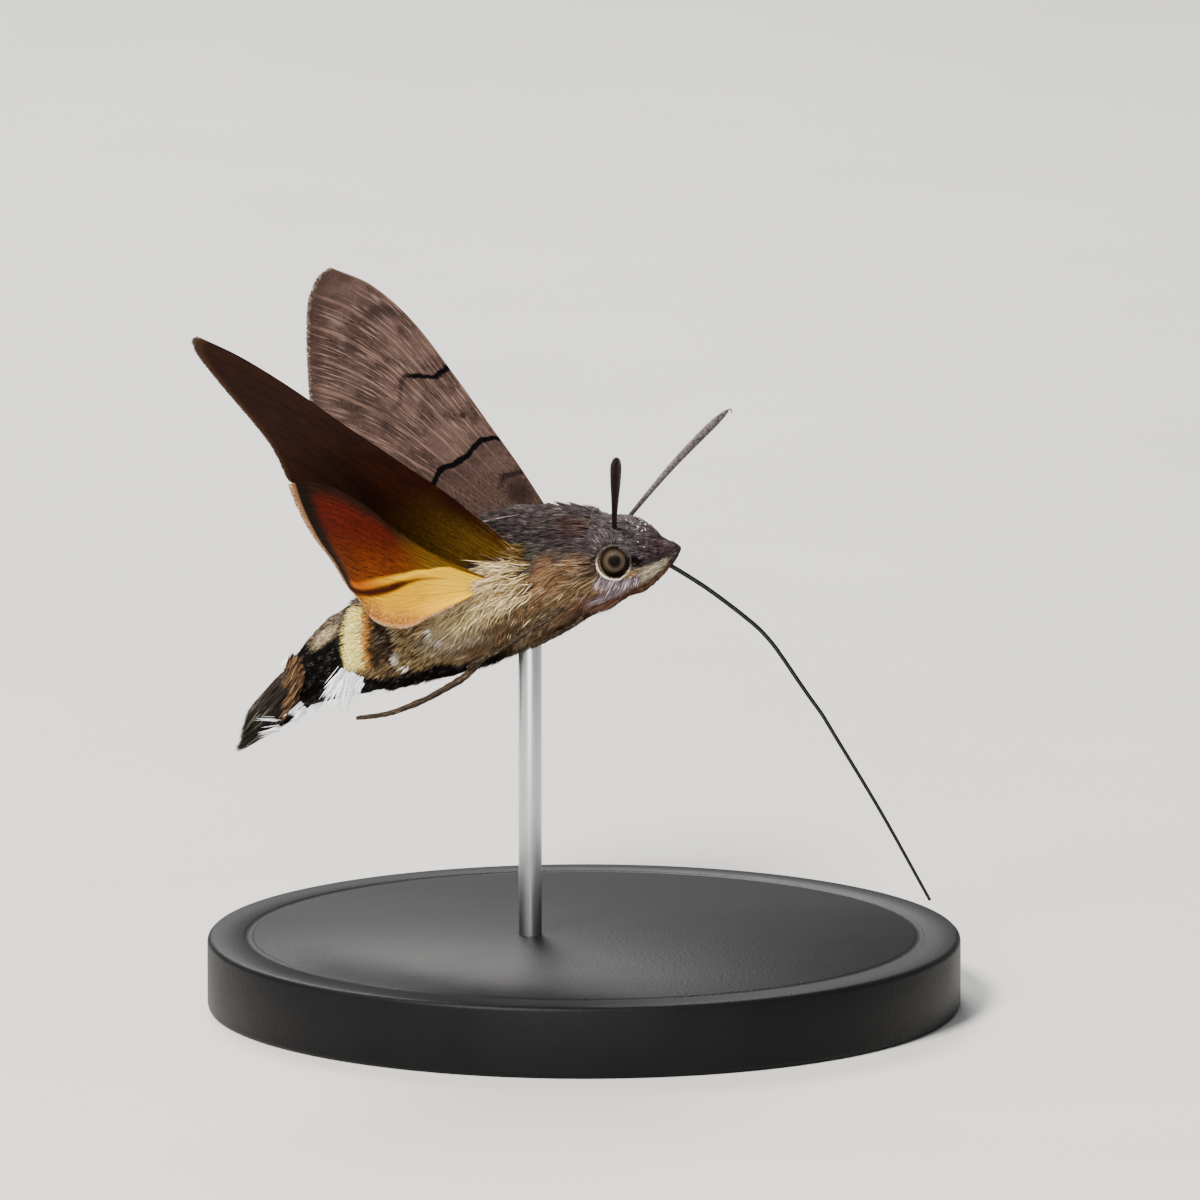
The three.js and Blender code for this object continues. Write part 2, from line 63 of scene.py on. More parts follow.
# Trim of the stand
BASE_BORDER = 2.0
GROOVE_WIDTH = 0.3
GROOVE_DEPTH = 0.2
BASE_ROUNDING = 0.3
ROD_ROUNDING = 0.15

# Body line from the tail to the beak: place (u, w), half height and half width
STATIONS = np.array([
    (-15.1, 15.9, 0.6, 1.2),
    (-14.0, 16.9, 1.1, 2.0),
    (-12.6, 17.95, 1.7, 2.6),
    (-10.3, 19.4, 2.6, 3.15),
    (-8.0, 20.45, 3.1, 3.45),
    (-4.9, 22.0, 3.7, 3.5),
    (-1.3, 23.95, 4.05, 3.75),
    (1.2, 24.85, 3.75, 3.8),
    (3.1, 25.3, 3.2, 3.2),
    (4.2, 25.4, 2.8, 2.55),
    (5.3, 25.65, 2.38, 2.25),
    (6.5, 25.75, 2.05, 1.75),
    (7.6, 25.9, 1.1, 1.1),
    (8.35, 26.15, 0.5, 0.55),
    (8.65, 26.25, 0.18, 0.2),
])
LAST_STATION = len(STATIONS) - 1

# How deep the skin lies under the coat's surface, by station
COAT_DEPTH = [(0, 0.2), (2, 0.28), (5, 0.4), (7, 0.45), (9, 0.32), (10.5, 0.2), (12, 0.12), (14, 0.05)]

EYE = {"u": 5.33, "v": 1.62, "w": 25.6, "radius": 0.9, "depth": 0.8}
EYE_LOOK = (0.23, 1.0, 0.16)

ANTENNA_ROOT = (5.15, 1.1, 27.35)
ANTENNA_TIP = {"right": (7.5, -9.1, 32.6), "left": (8.85, 8.8, 32.45)}
ANTENNA_RISE = 0.25
THICK_CLUB = {"right": 0.27, "left": 0.2}

PROBOSCIS_PATH = [
    (6.6, 25.5), (7.5, 25.45), (8.13, 25.2), (9.2, 24.62), (10.2, 24.03), (11.25, 23.33), (12.28, 22.6),
    (13.2, 21.88), (13.95, 21.1), (14.6, 20.25), (15.3, 19.27), (16.03, 18.27), (16.8, 17.25),
    (17.53, 16.11), (20.2, 11.9), (23.0, 7.1),
]

# Wings: side, root, the span's rise and sweep, and the tip's twist, in degrees
WINGS = {
    "right": {"side": -1, "root": (0.1, 3.3, 26.0), "rise": 35.9, "sweep": 59.1, "tip_turn": 25},
    "left": {"side": 1, "root": (0.6, 3.3, 26.1), "rise": 36.2, "sweep": 60.0, "tip_turn": 12},
}
ROOT_TURN_DEG = -8
TURN_DONE_AT = 14
MEMBRANE_MM = 0.1
VEINS = 7

# Edges of the forewing: millimetres out along its span and rearwards across it
FORE_COSTA = [
    (-1.2, -0.2), (4.3, -0.8), (8.0, -1.05), (12.2, -1.35), (16.4, -1.5), (19.8, -1.0), (22.1, 0.15),
]
FORE_TERMEN = [
    (22.1, 0.15), (21.9, 1.2), (20.9, 2.45), (19.2, 3.7), (17.3, 4.9), (15.0, 6.3), (13.2, 7.5), (11.9, 8.3),
    (10.85, 8.95),
]
FORE_INNER = [(-1.2, 1.9), (3.0, 3.4), (7.5, 5.9), (10.85, 8.95)]

# Edges of the hindwing: the same with the drop under the forewing, and its rear lobe as (u, v, w)
HIND_FRONT = [(-0.8, 1.2, 1.2), (4.4, 2.4, 1.3), (9.1, 2.5, 1.0), (11.4, 3.5, 0.8), (12.2, 4.65, 0.75)]
HIND_OUTER = [(10.8, 5.75, 0.75), (8.9, 6.85, 0.85), (7.0, 7.5, 1.05), (5.45, 8.1, 1.4)]
HIND_LOBE = [
    (-1.2, 3.0, 24.3), (-2.6, 4.3, 23.5), (-4.25, 4.6, 22.7),
    (-6.0, 4.6, 21.9), (-7.7, 4.5, 22.2), (-8.6, 4.15, 23.15),
]

# Legs folded to the body: station, degrees up the side and height over it
FOLDED_LEGS = {
    "fore": [(8.15, -56, -0.6), (7.8, -60, 0.2), (7.3, -60, 0.3), (6.7, -62, 0.3), (6.1, -64, 0.25)],
    "mid": [(7.7, -40, -0.6), (7.2, -38, 0.2), (6.4, -42, 0.3), (5.7, -48, 0.3), (5.1, -54, 0.25)],
}
HIND_LEG = {
    "right": [
        (-1.8, 1.6, 20.6), (-3.0, 1.9, 18.95), (-4.9, 1.9, 17.7),
        (-6.05, 1.9, 17.1), (-7.65, 1.9, 16.45), (-9.5, 1.9, 16.1),
    ],
    "left": [
        (-1.8, 1.6, 20.6), (-3.0, 2.1, 19.15), (-4.9, 2.3, 18.25),
        (-6.4, 2.35, 17.85), (-8.0, 2.3, 17.65),
    ],
}

# Ends of the long tufts: pixels right and down in the photograph, and millimetres to the moth's left
PLUME_ROOTS = [(341, 670, -2.95), (351, 675, -3.1), (362, 680, -2.95)]
PLUME_TIPS = [(317, 699, -2.85), (322, 706, -2.8), (331, 713, -2.6), (342, 715, -2.5), (357, 697, -2.8)]
REAR_ROOTS = [(300, 703, -2.4), (307, 711, -2.1)]
REAR_TIPS = [(284, 714, -2.4), (288, 727, -1.8)]
TAIL_ROOTS = [(277, 717, -2.3), (276, 722, -2.3)]
TAIL_TIPS = [(252, 716, -2.5), (256, 722, -2.45)]
LAST_ROOTS = [(279, 726, -1.95), (277, 730, -1.8)]
LAST_TIPS = [(255, 733, -2.15), (258, 739, -2.0)]
BROWN_ROOTS = [(291, 655, -1.6), (300, 661, -2.2), (302, 680, -2.7), (294, 702, -2.5)]
BROWN_TIPS = [(284, 675, -1.85), (285, 697, -2.25), (281, 712, -2.25), (277, 724, -1.85)]
WING_EDGE_ROOTS = [(537, 506, 1.4), (508, 510, 1.4)]
WING_EDGE_TIPS = [(512, 509, 1.5), (482, 515, 1.5)]
WING_BASE_ROOTS = [(527, 548, -3.5), (525, 557, -3.5), (523, 564, -3.5)]
WING_BASE_TIPS = [(503, 541, -4.1), (499, 552, -4.1), (497, 563, -4.0)]

# Ends of tufts given on the body: station, degrees up the side and height over the skin
BACK_ROOTS = [(2.1, 66, 0.3), (2.05, 54, 0.35)]
BACK_TIPS = [(1.65, 68, 0.55), (1.6, 52, 0.65)]
CHEEK_ROOTS = [(9.25, -14, 0.1), (9.65, -24, 0.1), (10.3, -29, 0.1), (11.1, -30, 0.1)]
CHEEK_TIPS = [(8.8, -28, 0.25), (9.1, -42, 0.3), (9.8, -50, 0.3), (10.8, -48, 0.25)]

SIDES = {"right": -1, "left": 1}
MIRROR = np.array([1, -1, 1])


# Numbers and curves
def lerp(a, b, f):
    return a + (b - a) * f


def smooth(f):
    g = np.clip(f, 0, 1)
    return g * g * (3 - 2 * g)


def by_table(table, x):
    """The value at x of a table of (x, value) pairs, with straight lines between."""
    return np.interp(x, [row[0] for row in table], [row[1] for row in table])


def spline(points, f):
    """Points of a curve through a list of points, at shares f of the list."""
    points = np.asarray(points, float)
    f = np.asarray(f, float)
    place = np.clip(f, 0, 1) * (len(points) - 1)
    k = np.minimum(place.astype(int), len(points) - 2)
    t = (place - k)[..., None]
    before = 2 * points[0] - points[1]
    after = 2 * points[-1] - points[-2]
    padded = np.vstack([before, points, after])
    a, b, c, d = (padded[k + i] for i in range(4))
    return 0.5 * (2 * b + (c - a) * t + (2 * a - 5 * b + 4 * c - d) * t**2 + (3 * b - a - 3 * c + d) * t**3)


def even_spline(points, f, fine=400):
    """The same curve, at shares f of its length."""
    dense = spline(points, np.linspace(0, 1, fine))
    steps = np.linalg.norm(np.diff(dense, axis=0), axis=1)
    along = np.concatenate([[0], np.cumsum(steps)]) / steps.sum()
    f = np.asarray(f, float)
    return np.stack([np.interp(f, along, dense[:, axis]) for axis in range(dense.shape[1])], axis=-1)


def bowed(start, middle, end, rings):
    """Paths of points that leave each start towards its middle and bend to its end."""
    f = np.linspace(0, 1, rings)[None, :, None]
    return start[:, None] * (1 - f)**2 + middle[:, None] * 2 * f * (1 - f) + end[:, None] * f**2


def unit(vectors):
    return vectors / np.maximum(np.linalg.norm(vectors, axis=-1, keepdims=True), 1e-9)


# Body surface
def body_axis(station):
    return spline(STATIONS, np.asarray(station, float) / LAST_STATION)


def body_point(station, angle, lift=0.0):
    """Points of the body's surface: station, angle in degrees over its left side, height over it."""
    here = body_axis(station)
    step = 0.02
    ahead = body_axis(np.asarray(station, float) + step) - body_axis(np.asarray(station, float) - step)
    tangent = unit(ahead[..., :2])
    rise = np.sin(np.radians(angle)) * (here[..., 2] + lift)
    out = np.cos(np.radians(angle)) * (here[..., 3] + lift)
    forward = here[..., 0] - tangent[..., 1] * rise
    high = here[..., 1] + tangent[..., 0] * rise
    return np.stack([forward, out, high], axis=-1)


FINE_STATIONS = np.linspace(0, LAST_STATION, 1401)
FINE_AXIS = body_axis(FINE_STATIONS)
FINE_ALONG = np.append(0, np.cumsum(np.linalg.norm(np.diff(FINE_AXIS[:, :2], axis=0), axis=1)))


def along_body(station):
    """Millimetres from the tail along the body's line."""
    return np.interp(station, FINE_STATIONS, FINE_ALONG)


def station_at(along):
    return np.interp(along, FINE_ALONG, FINE_STATIONS)


def girth(station):
    return body_axis(station)[..., 2:].mean(axis=-1)


def coat_depth(station):
    return by_table(COAT_DEPTH, station)


def skin_point(station, height, side, lift=0.0):
    """A point over the skin: station, degrees up its side from the middle, -1 right or 1 left."""
    point = body_point(station, height, lift - coat_depth(station))
    point[..., 1] *= side
    return point


def skin_normal(station, height, side):
    return unit(skin_point(station, height, side, 1.0) - skin_point(station, height, side))


def over_skin(places):
    """Points on the right side of the body from (station, height, lift) places."""
    station, height, lift = np.array(places, float).T
    return skin_point(station, height, -1.0, lift)


def in_photo(places):
    """Points of the moth from places in the photograph and their distances to the moth's left."""
    turn = math.radians(YAW_DEG)
    rise = math.radians(ELEVATION_DEG)
    points = []
    for x, y, v in places:
        right = (x - ORIGIN_PIXEL[0]) / PIXELS_PER_MM - ROD_X
        high = (ORIGIN_PIXEL[1] - y) / PIXELS_PER_MM
        u = (right - v * math.sin(turn)) / math.cos(turn)
        away = -u * math.sin(turn) + v * math.cos(turn)
        points.append((u, v, (high - away * math.sin(rise)) / math.cos(rise)))
    return points


# From the moth's frame onto the stand, in metres
YAW = math.radians(-YAW_DEG)
SET_DOWN = Matrix.Translation((ROD_X * MM, 0, 0)) @ Matrix.Rotation(YAW, 4, "Z") @ Matrix.Scale(MM, 4)


def set_down(points):
    points = np.asarray(points, float)
    turn = np.array(SET_DOWN)
    return points @ turn[:3, :3].T + turn[:3, 3]


# Meshes
def deselect():
    if bpy.context.object and bpy.context.object.mode != "OBJECT":
        bpy.ops.object.mode_set(mode="OBJECT")
    bpy.ops.object.select_all(action="DESELECT")


def pick(piece):
    deselect()
    piece.select_set(True)
    bpy.context.view_layer.objects.active = piece


def place_vertices(piece, points):
    """Moves a primitive's vertices to points given in the moth's frame."""
    piece.data.vertices.foreach_set("co", set_down(points).astype(np.float32).ravel())
    piece.data.update()


def add_map(piece, name, values):
    """A UV map from one pair of numbers for each vertex."""
    index = np.zeros(len(piece.data.loops), np.int32)
    piece.data.loops.foreach_get("vertex_index", index)
    layer = piece.data.uv_layers.get(name) or piece.data.uv_layers.new(name=name)
    layer.data.foreach_set("uv", np.asarray(values)[index].astype(np.float32).ravel())


def finish_piece(piece, name, material, replaced=(), smooth_deg=60):
    """Names, smooths, paints and hands over a finished piece."""
    pick(piece)
    bpy.ops.object.transform_apply(location=True, rotation=True, scale=True)
    bpy.ops.object.shade_smooth_by_angle(angle=math.radians(smooth_deg))
    piece.name = name
    piece.data.name = name
    piece.data.materials.clear()
    piece.data.materials.append(material)
    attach(piece, "root")
    if replaced:
        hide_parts(*replaced)
    return piece


def apply_modifier(piece, kind, **settings):
    modifier = piece.modifiers.new(kind.title(), kind)
    for key, value in settings.items():
        setattr(modifier, key, value)
    pick(piece)
    bpy.ops.object.modifier_apply(modifier=modifier.name)


def grid(rows, columns, points):
    """A primitive grid of rows by columns faces, with its vertices laid on a surface of points."""
    deselect()
    bpy.ops.mesh.primitive_grid_add(x_subdivisions=columns, y_subdivisions=rows, size=2)
    piece = bpy.context.object
    place_vertices(piece, points.reshape(-1, 3))
    return piece


def close_tube(piece):
    """Joins the long seam of a grid rolled into a tube, and closes its ends."""
    pick(piece)
    bpy.ops.object.mode_set(mode="EDIT")
    bpy.ops.mesh.select_all(action="SELECT")
    bpy.ops.mesh.remove_doubles(threshold=1e-6)
    bpy.ops.mesh.select_all(action="DESELECT")
    bpy.ops.mesh.select_non_manifold()
    bpy.ops.mesh.edge_face_add()
    bpy.ops.mesh.select_all(action="SELECT")
    bpy.ops.mesh.normals_make_consistent(inside=False)
    bpy.ops.object.mode_set(mode="OBJECT")


# A direction that no limb runs along
ASIDE = (0.13, 0.31, 0.94)


def cross_section(ahead):
    """Two directions square to the way ahead."""
    across = unit(np.cross(ahead, ASIDE))
    return across, np.cross(across, ahead)


def limb(points, radius, steps, sides):
    """A round limb along a curve, made from a grid rolled into a tube."""
    f = np.linspace(0, 1, steps + 1)
    centres = even_spline(points, f)
    radii = np.asarray([radius(x) for x in f])
    across, up = cross_section(unit(np.gradient(centres, axis=0)))
    turn = np.linspace(0, 2 * math.pi, sides + 1)
    ring = np.cos(turn)[None, :, None] * across[:, None] + np.sin(turn)[None, :, None] * up[:, None]
    piece = grid(steps, sides, centres[:, None] + ring * radii[:, None, None])
    close_tube(piece)
    return piece


# Shader maths
class Value:
    """A socket on which the arithmetic operators add Math nodes."""

    def __init__(self, paint, socket):
        self.paint = paint
        self.socket = socket

    def maths(self, operation, first, second):
        return self.paint.node("ShaderNodeMath", {"operation": operation}, first, second)

    def __add__(self, other):
        return self.maths("ADD", self, other)

    def __radd__(self, other):
        return self.maths("ADD", other, self)

    def __sub__(self, other):
        return self.maths("SUBTRACT", self, other)

    def __rsub__(self, other):
        return self.maths("SUBTRACT", other, self)

    def __mul__(self, other):
        return self.maths("MULTIPLY", self, other)

    def __rmul__(self, other):
        return self.maths("MULTIPLY", other, self)

    def __truediv__(self, other):
        return self.maths("DIVIDE", self, other)

    def __rtruediv__(self, other):
        return self.maths("DIVIDE", other, self)


def colour(code):
    """An sRGB hex colour as linear red, green, blue and alpha."""
    parts = [int(code[k:k + 2], 16) / 255 for k in (0, 2, 4)]
    return tuple(c / 12.92 if c <= 0.04045 else ((c + 0.055) / 1.055) ** 2.4 for c in parts) + (1.0,)


class Paint:
    """A material and its nodes. A colour is a socket's value or an sRGB hex code."""

    def __init__(self, name, **constants):
        self.material = bpy.data.materials.new(name)
        self.material.use_nodes = True
        self.tree = self.material.node_tree
        self.shader = self.tree.nodes["Principled BSDF"]
        self.set(**constants)

    def node(self, kind, settings, *values, output=None):
        """A new node with its settings made and its sockets fed in order: its first or its named output."""
        node = self.tree.nodes.new(kind)
        for key, value in settings.items():
            if key == "stops":
                self.stops(node.color_ramp, value)
            else:
                setattr(node, key, value)
        sockets = [socket for socket in node.inputs if socket.enabled]
        for socket, value in zip(sockets, values):
            self.feed(socket, value)
        outputs = [socket for socket in node.outputs if socket.enabled and output in (None, socket.name)]
        return Value(self, outputs[0])

    def stops(self, ramp, stops):
        while len(ramp.elements) < len(stops):
            ramp.elements.new(1.0)
        for element, (place, shade) in zip(ramp.elements, stops):
            element.position = place
            element.color = colour(shade) if isinstance(shade, str) else (shade, shade, shade, 1.0)

    def feed(self, socket, value):
        if isinstance(value, Value):
            self.tree.links.new(value.socket, socket)
        elif isinstance(value, str):
            socket.default_value = colour(value)
        else:
            socket.default_value = value

    def set(self, **sockets):
        for name, value in sockets.items():
            self.feed(self.shader.inputs[name.replace("_", " ")], value)

    def place(self):
        return self.node("ShaderNodeTexCoord", {}, output="Object")

    def part_of(self, vector, axis):
        return self.node("ShaderNodeSeparateXYZ", {}, vector, output=axis)

    def map(self, name):
        """The two numbers of a UV map."""
        both = self.node("ShaderNodeUVMap", {"uv_map": name})
        return self.part_of(both, "X"), self.part_of(both, "Y")

    def attribute(self, name):
        return self.node("ShaderNodeAttribute", {"attribute_name": name}, output="Fac")

    def vector(self, x, y, z=0.0):
        return self.node("ShaderNodeCombineXYZ", {}, x, y, z)

    def scaled(self, vector, by):
        return self.node("ShaderNodeVectorMath", {"operation": "MULTIPLY"}, vector, by)

    def noise(self, vector, scale, detail=3.0, roughness=0.5):
        return self.node("ShaderNodeTexNoise", {}, vector, scale, detail, roughness)

    def clamp(self, value):
        return self.node("ShaderNodeClamp", {}, value, 0.0, 1.0)

    def step(self, value, low, high):
        """0 below low, 1 above high, with a soft rise between."""
        rise = {"interpolation_type": "SMOOTHSTEP"}
        return self.node("ShaderNodeMapRange", rise, value, low, high, 0.0, 1.0)

    def band(self, value, low, high, soft):
        return self.step(value, low - soft, low + soft) * (1 - self.step(value, high - soft, high + soft))

    def spot(self, x, y, at, radii, soft=0.35):
        """1 inside an ellipse, 0 outside."""
        a = (x - at[0]) / radii[0]
        b = (y - at[1]) / radii[1]
        return 1 - self.step(a * a + b * b, 1 - soft, 1 + soft)

    def mix(self, factor, a, b):
        return self.node("ShaderNodeMix", {"data_type": "RGBA"}, factor, a, b)

    def table(self, value, pairs):
        """A number or a colour looked up in a table of (share, number or colour) pairs."""
        return self.node("ShaderNodeValToRGB", {"stops": pairs}, value)

    def bump(self, height, distance_mm, strength=1.0):
        filter_width = 1.0
        self.set(Normal=self.node("ShaderNodeBump", {}, strength, distance_mm * MM, filter_width, height))


class Marks:
    """Colours laid one over another on a material."""

    def __init__(self, paint):
        self.paint = paint
        self.shade = None

    def lay(self, amount, over):
        self.shade = self.paint.mix(amount, self.shade, over)


# Markings of the body, shared by the skin and the coat
class BodyMarks(Marks):
    """The markings at a place of the body, read from its Lie map.

    A place is a station and degrees up the side, from the belly at -90 to the back at 90.
    """

    def __init__(self, paint):
        super().__init__(paint)
        x, y = paint.map("Lie")
        self.station = x * LAST_STATION
        self.height = (y - 0.5) * 180
        self.segment = self.station - self.height * 0.005
        self.place = paint.place()
        self.wobble = (paint.noise(self.place, 900, 2) - 0.5) * 2
        self.under = self.wobble * 8 - self.height
        self.streak = paint.step(paint.noise(paint.vector(x * 70, y * 150), 1.0, 3), 0.32, 0.68)
        # Painted sheen: pale patches laid over the hair's colours on the thorax, the flanks and the crown.
        self.sheen = paint.step(paint.noise(paint.vector(x * 60, y * 210, 5.0), 1.0, 2), 0.58, 0.72)

    def pair(self, dark, pale):
        """Two colours in streaks."""
        return self.paint.mix(self.streak, dark, pale)

    def wavy(self, value, amount):
        """A station or a height that wanders, for an uneven edge."""
        return value + self.wobble * amount

    def spot(self, wave, at, radii, soft=0.35):
        return self.paint.spot(self.wavy(self.station, wave), self.height, at, radii, soft)


def thorax_marks(m):
    """Grey top; tan side with cream strands and painted sheen; a warm and a green patch before the wing."""
    paint = m.paint
    tan = paint.mix(m.sheen, m.pair("2e1e14", "a88660"), "f4dcb4")
    grey = paint.mix(m.sheen * 0.35, m.pair("221d1c", "42383a"), "7c6e6c")
    m.shade = paint.mix(paint.step(m.wavy(m.height, 12), 6, 20), tan, grey)
    m.lay(m.spot(0.2, (7.9, 2), (1.2, 16), 0.6) * 0.3, m.pair("5a3620", "a06c46"))
    m.lay(m.spot(0.2, (7.1, 22), (0.5, 12), 0.5) * 0.6, m.pair("2c322c", "5e6658"))


def abdomen_front_marks(m):
    """Olive flanks, a grey back, a rust edge under the chest and a black belly, partly painted shade."""
    paint = m.paint
    olive = paint.mix(m.sheen * 0.5, m.pair("1e140a", "bc9c6c"), "e4d0a0")
    m.lay(1 - paint.step(m.wavy(m.segment, 0.3), 4.7, 5.7), olive)
    back = paint.step(m.wavy(m.height, 10), 34, 52) * (1 - paint.step(m.station, 4.6, 6.0))
    m.lay(back, m.pair("3a332e", "7c6e60"))
    chest = paint.step(m.under, 56, 68) * paint.step(m.station, 6.2, 7.4)
    m.lay(chest, m.pair("2e160c", "623e2c"))
    # The belly: its own dark colour deepened to black as painted shade of the underside.
    low = paint.step(m.under + (m.station - 4.5) * -9, 40, 48)
    belly = low * (1 - paint.step(m.wavy(m.station, 0.3), 5.6, 6.6))
    m.lay(belly, m.pair("020202", "0c0806"))


def wing_root_marks(m):
    """Cream hair under the wing root."""
    m.lay(m.spot(0.25, (6.1, -3), (0.9, 12), 0.9), m.pair("b8965c", "f8e8c0"))
    m.lay(m.spot(0.2, (5.3, -20), (0.6, 15), 0.6) * 0.4, m.pair("8a765c", "e8dcc4"))


def pale_band_marks(m):
    """The pale band with its orange front, the dark patch before it and the white segment edge."""
    paint = m.paint
    dark = paint.band(m.wavy(m.segment, 0.08), 3.97, 4.42, 0.06) * paint.step(m.wavy(m.height, 14), -44, -16)
    m.lay(dark * 0.95, m.pair("080402", "3a2614"))
    across = paint.step(m.wavy(m.height, 4), -26, -14) * (1 - paint.step(m.wavy(m.height, 5), 54, 66))
    m.lay(paint.band(m.wavy(m.segment, 0.1), 3.2, 3.95, 0.08) * across * 0.9, m.pair("7c4812", "d88c3c"))
    m.lay(paint.band(m.wavy(m.segment, 0.08), 3.22, 3.82, 0.07) * across, m.pair("f8e070", "fff8a8"))
    edge = paint.band(m.segment, 4.42, 4.45, 0.02) * paint.band(m.height, -26, 30, 4)
    m.lay(edge * 0.35, "e8dcc4")


WHITE_FLECKS = [(4.27, -20), (4.25, -25), (4.34, -36), (5.03, -9), (5.06, -15), (5.08, -21), (2.1, 10)]


def abdomen_rear_marks(m):
    """Black, with a grey patch on the back, a brown row, the tail and white flecks."""
    paint = m.paint
    m.lay(1 - paint.step(m.wavy(m.segment, 0.05), 3.18, 3.23), m.pair("020202", "0a0706"))
    back = paint.spot(m.wavy(m.station, 0.12), m.wavy(m.height, 8), (3.0, 66), (0.42, 27))
    m.lay(back, m.pair("2e2620", "94806a"))
    m.lay(m.spot(0.05, (2.96, 44), (0.3, 12), 1.0) * 0.75, m.pair("9c8464", "f4dcb4"))
    row = paint.band(m.wavy(m.segment, 0.08), 1.0, 1.85, 0.12) * paint.step(m.height, -66, -50)
    m.lay(row * 0.8, m.pair("2c1c10", "7c6248"))
    tail = 1 - paint.step(m.wavy(m.segment, 0.1), 0.8, 1.0)
    m.lay(tail, m.pair("080605", "302822"))
    # The tail is greyer on top: its own grey-brown, with painted light where the thin hair lets light
    # through.
    m.lay(tail * paint.step(m.wavy(m.height, 20), 20, 70) * 0.8, m.pair("171310", "443b35"))
    for at in WHITE_FLECKS:
        m.lay(m.spot(0.05, at, (0.06, 4)), "f6eee0")


def head_marks(m):
    """Grey crown, rust throat and chin, pale lilac hair under the eye and cream palps."""
    paint = m.paint
    grey = paint.mix(m.sheen * 0.5, m.pair("252022", "5a5054"), "968c91")
    m.lay(paint.step(m.wavy(m.station, 0.3), 8.3, 10.1) * paint.step(m.wavy(m.height, 8), -20, -4), grey)
    m.lay(m.spot(0.1, (8.75, 54), (0.6, 14), 0.9) * 0.3, "5a3028")
    m.lay(m.spot(0.15, (9.3, -52), (1.3, 26), 0.6), m.pair("442818", "8c6450"))
    m.lay(m.spot(0.1, (10.1, -46), (0.8, 15), 0.5), m.pair("5c4a4e", "b8a8b2"))
    m.lay(paint.step(m.station, 10.5, 11.0) * paint.step(m.under, 44, 52), m.pair("361c12", "7c5644"))
    palp = paint.spot(m.wavy(m.station, 0.05), m.height + (m.station - 12) * -2, (12.0, -36), (0.85, 22), 1.0)
    m.lay(palp, m.pair("6a5c48", "dcd0b8"))


def beak_marks(m):
    """Dark streak before the eye, dark beak, white flecks of the crown and a painted glint below them."""
    paint = m.paint
    m.lay(m.spot(0.04, (11.3, -3), (0.75, 11), 0.7), "080403")
    top = paint.step(m.wavy(m.station, 0.15), 11.3, 12.0) * paint.step(m.wavy(m.height, 5), -20, -13)
    point = paint.step(m.wavy(m.station, 0.1), 12.55, 12.9)
    m.lay(paint.clamp(top + point), m.pair("181012", "48383c"))
    fleck = paint.step(paint.noise(m.place, 4600, 1), 0.67, 0.72)
    crown = paint.spot(m.station, m.height, (11.2, 72), (0.5, 22))
    # Painted glint: a small patch of the same white flecks, lower on the head's front.
    brow_glint = paint.spot(m.station, m.height, (11.6, 34), (0.3, 9))
    m.lay(fleck * (crown + brow_glint), "ffffff")


def body_colour(paint):
    """The colour at a place of the body, with all its markings."""
    marks = BodyMarks(paint)
    thorax_marks(marks)
    abdomen_front_marks(marks)
    wing_root_marks(marks)
    pale_band_marks(marks)
    abdomen_rear_marks(marks)
    head_marks(marks)
    beak_marks(marks)
    return marks.shade


def skin_material():
    paint = Paint("body skin", Roughness=0.8, Specular_IOR_Level=0.1)
    paint.set(Base_Color=paint.mix(0.5, body_colour(paint), "120c09"))
    paint.bump(paint.noise(paint.place(), 6000, 3), 0.06)
    return paint.material


def coat_material(name, tint=body_colour, root_light=0.45, **constants):
    """Hair in the body's markings or in a tint, with painted shade at its root, varied from tuft to tuft."""
    paint = Paint(name, Roughness=0.6, Specular_IOR_Level=0.08, **constants)
    # Painted shade: each tuft darkens towards its root, down to root_light there; its tone also varies by
    # tuft.
    light = root_light + (1 - root_light) * paint.step(paint.attribute("along"), 0.0, 0.7)
    light = light * (0.62 + 0.6 * paint.attribute("shade"))
    dimmed = paint.mix(paint.clamp(1 - light), tint(paint), "060403")
    paint.set(Base_Color=paint.mix(paint.clamp((light - 1) * 0.6), dimmed, "fff4e4"))
    return paint.material


def between(dark, pale):
    """A tint between two colours, by tuft."""
    return lambda paint: paint.mix(paint.attribute("shade"), dark, pale)


# Tufts: the width at each ring of a tuft's path, as a share, by the number of rings
TAPERS = {3: (0.8, 1.0, 0.0), 4: (0.7, 1.0, 0.6, 0.0), 5: (0.7, 1.0, 0.85, 0.5, 0.0)}
BAKE_PATCH = 0.003
BAKE_LIMIT = 0.996


def signed_volume(points, faces):
    a, b, c = (points[faces[:, k]] for k in range(3))
    centre = points.mean(axis=0)
    return np.einsum("ij,ij->i", a - centre, np.cross(b - centre, c - centre)).sum()


def tuft_faces(rings):
    """Triangles of one tuft: rings of three points and a tip, closed at its root."""
    faces = [(0, 1, 2)]
    for low in range(0, 3 * (rings - 2), 3):
        for a in range(3):
            b = (a + 1) % 3
            faces += [(low + a, low + 3 + a, low + b), (low + b, low + 3 + a, low + 3 + b)]
    last = 3 * (rings - 2)
    return np.array(faces + [(last + a, last + 3, last + (a + 1) % 3) for a in range(3)])


def triangle_mesh(name, points, triangles):
    """A mesh from points of the moth's frame."""
    mesh = bpy.data.meshes.new(name)
    mesh.vertices.add(len(points))
    mesh.vertices.foreach_set("co", set_down(points).astype(np.float32).ravel())
    mesh.loops.add(triangles.size)
    mesh.loops.foreach_set("vertex_index", triangles.ravel().astype(np.int32))
    mesh.polygons.add(len(triangles))
    mesh.polygons.foreach_set("loop_start", np.arange(0, triangles.size, 3, dtype=np.int32))
    mesh.update(calc_edges=True)
    return mesh


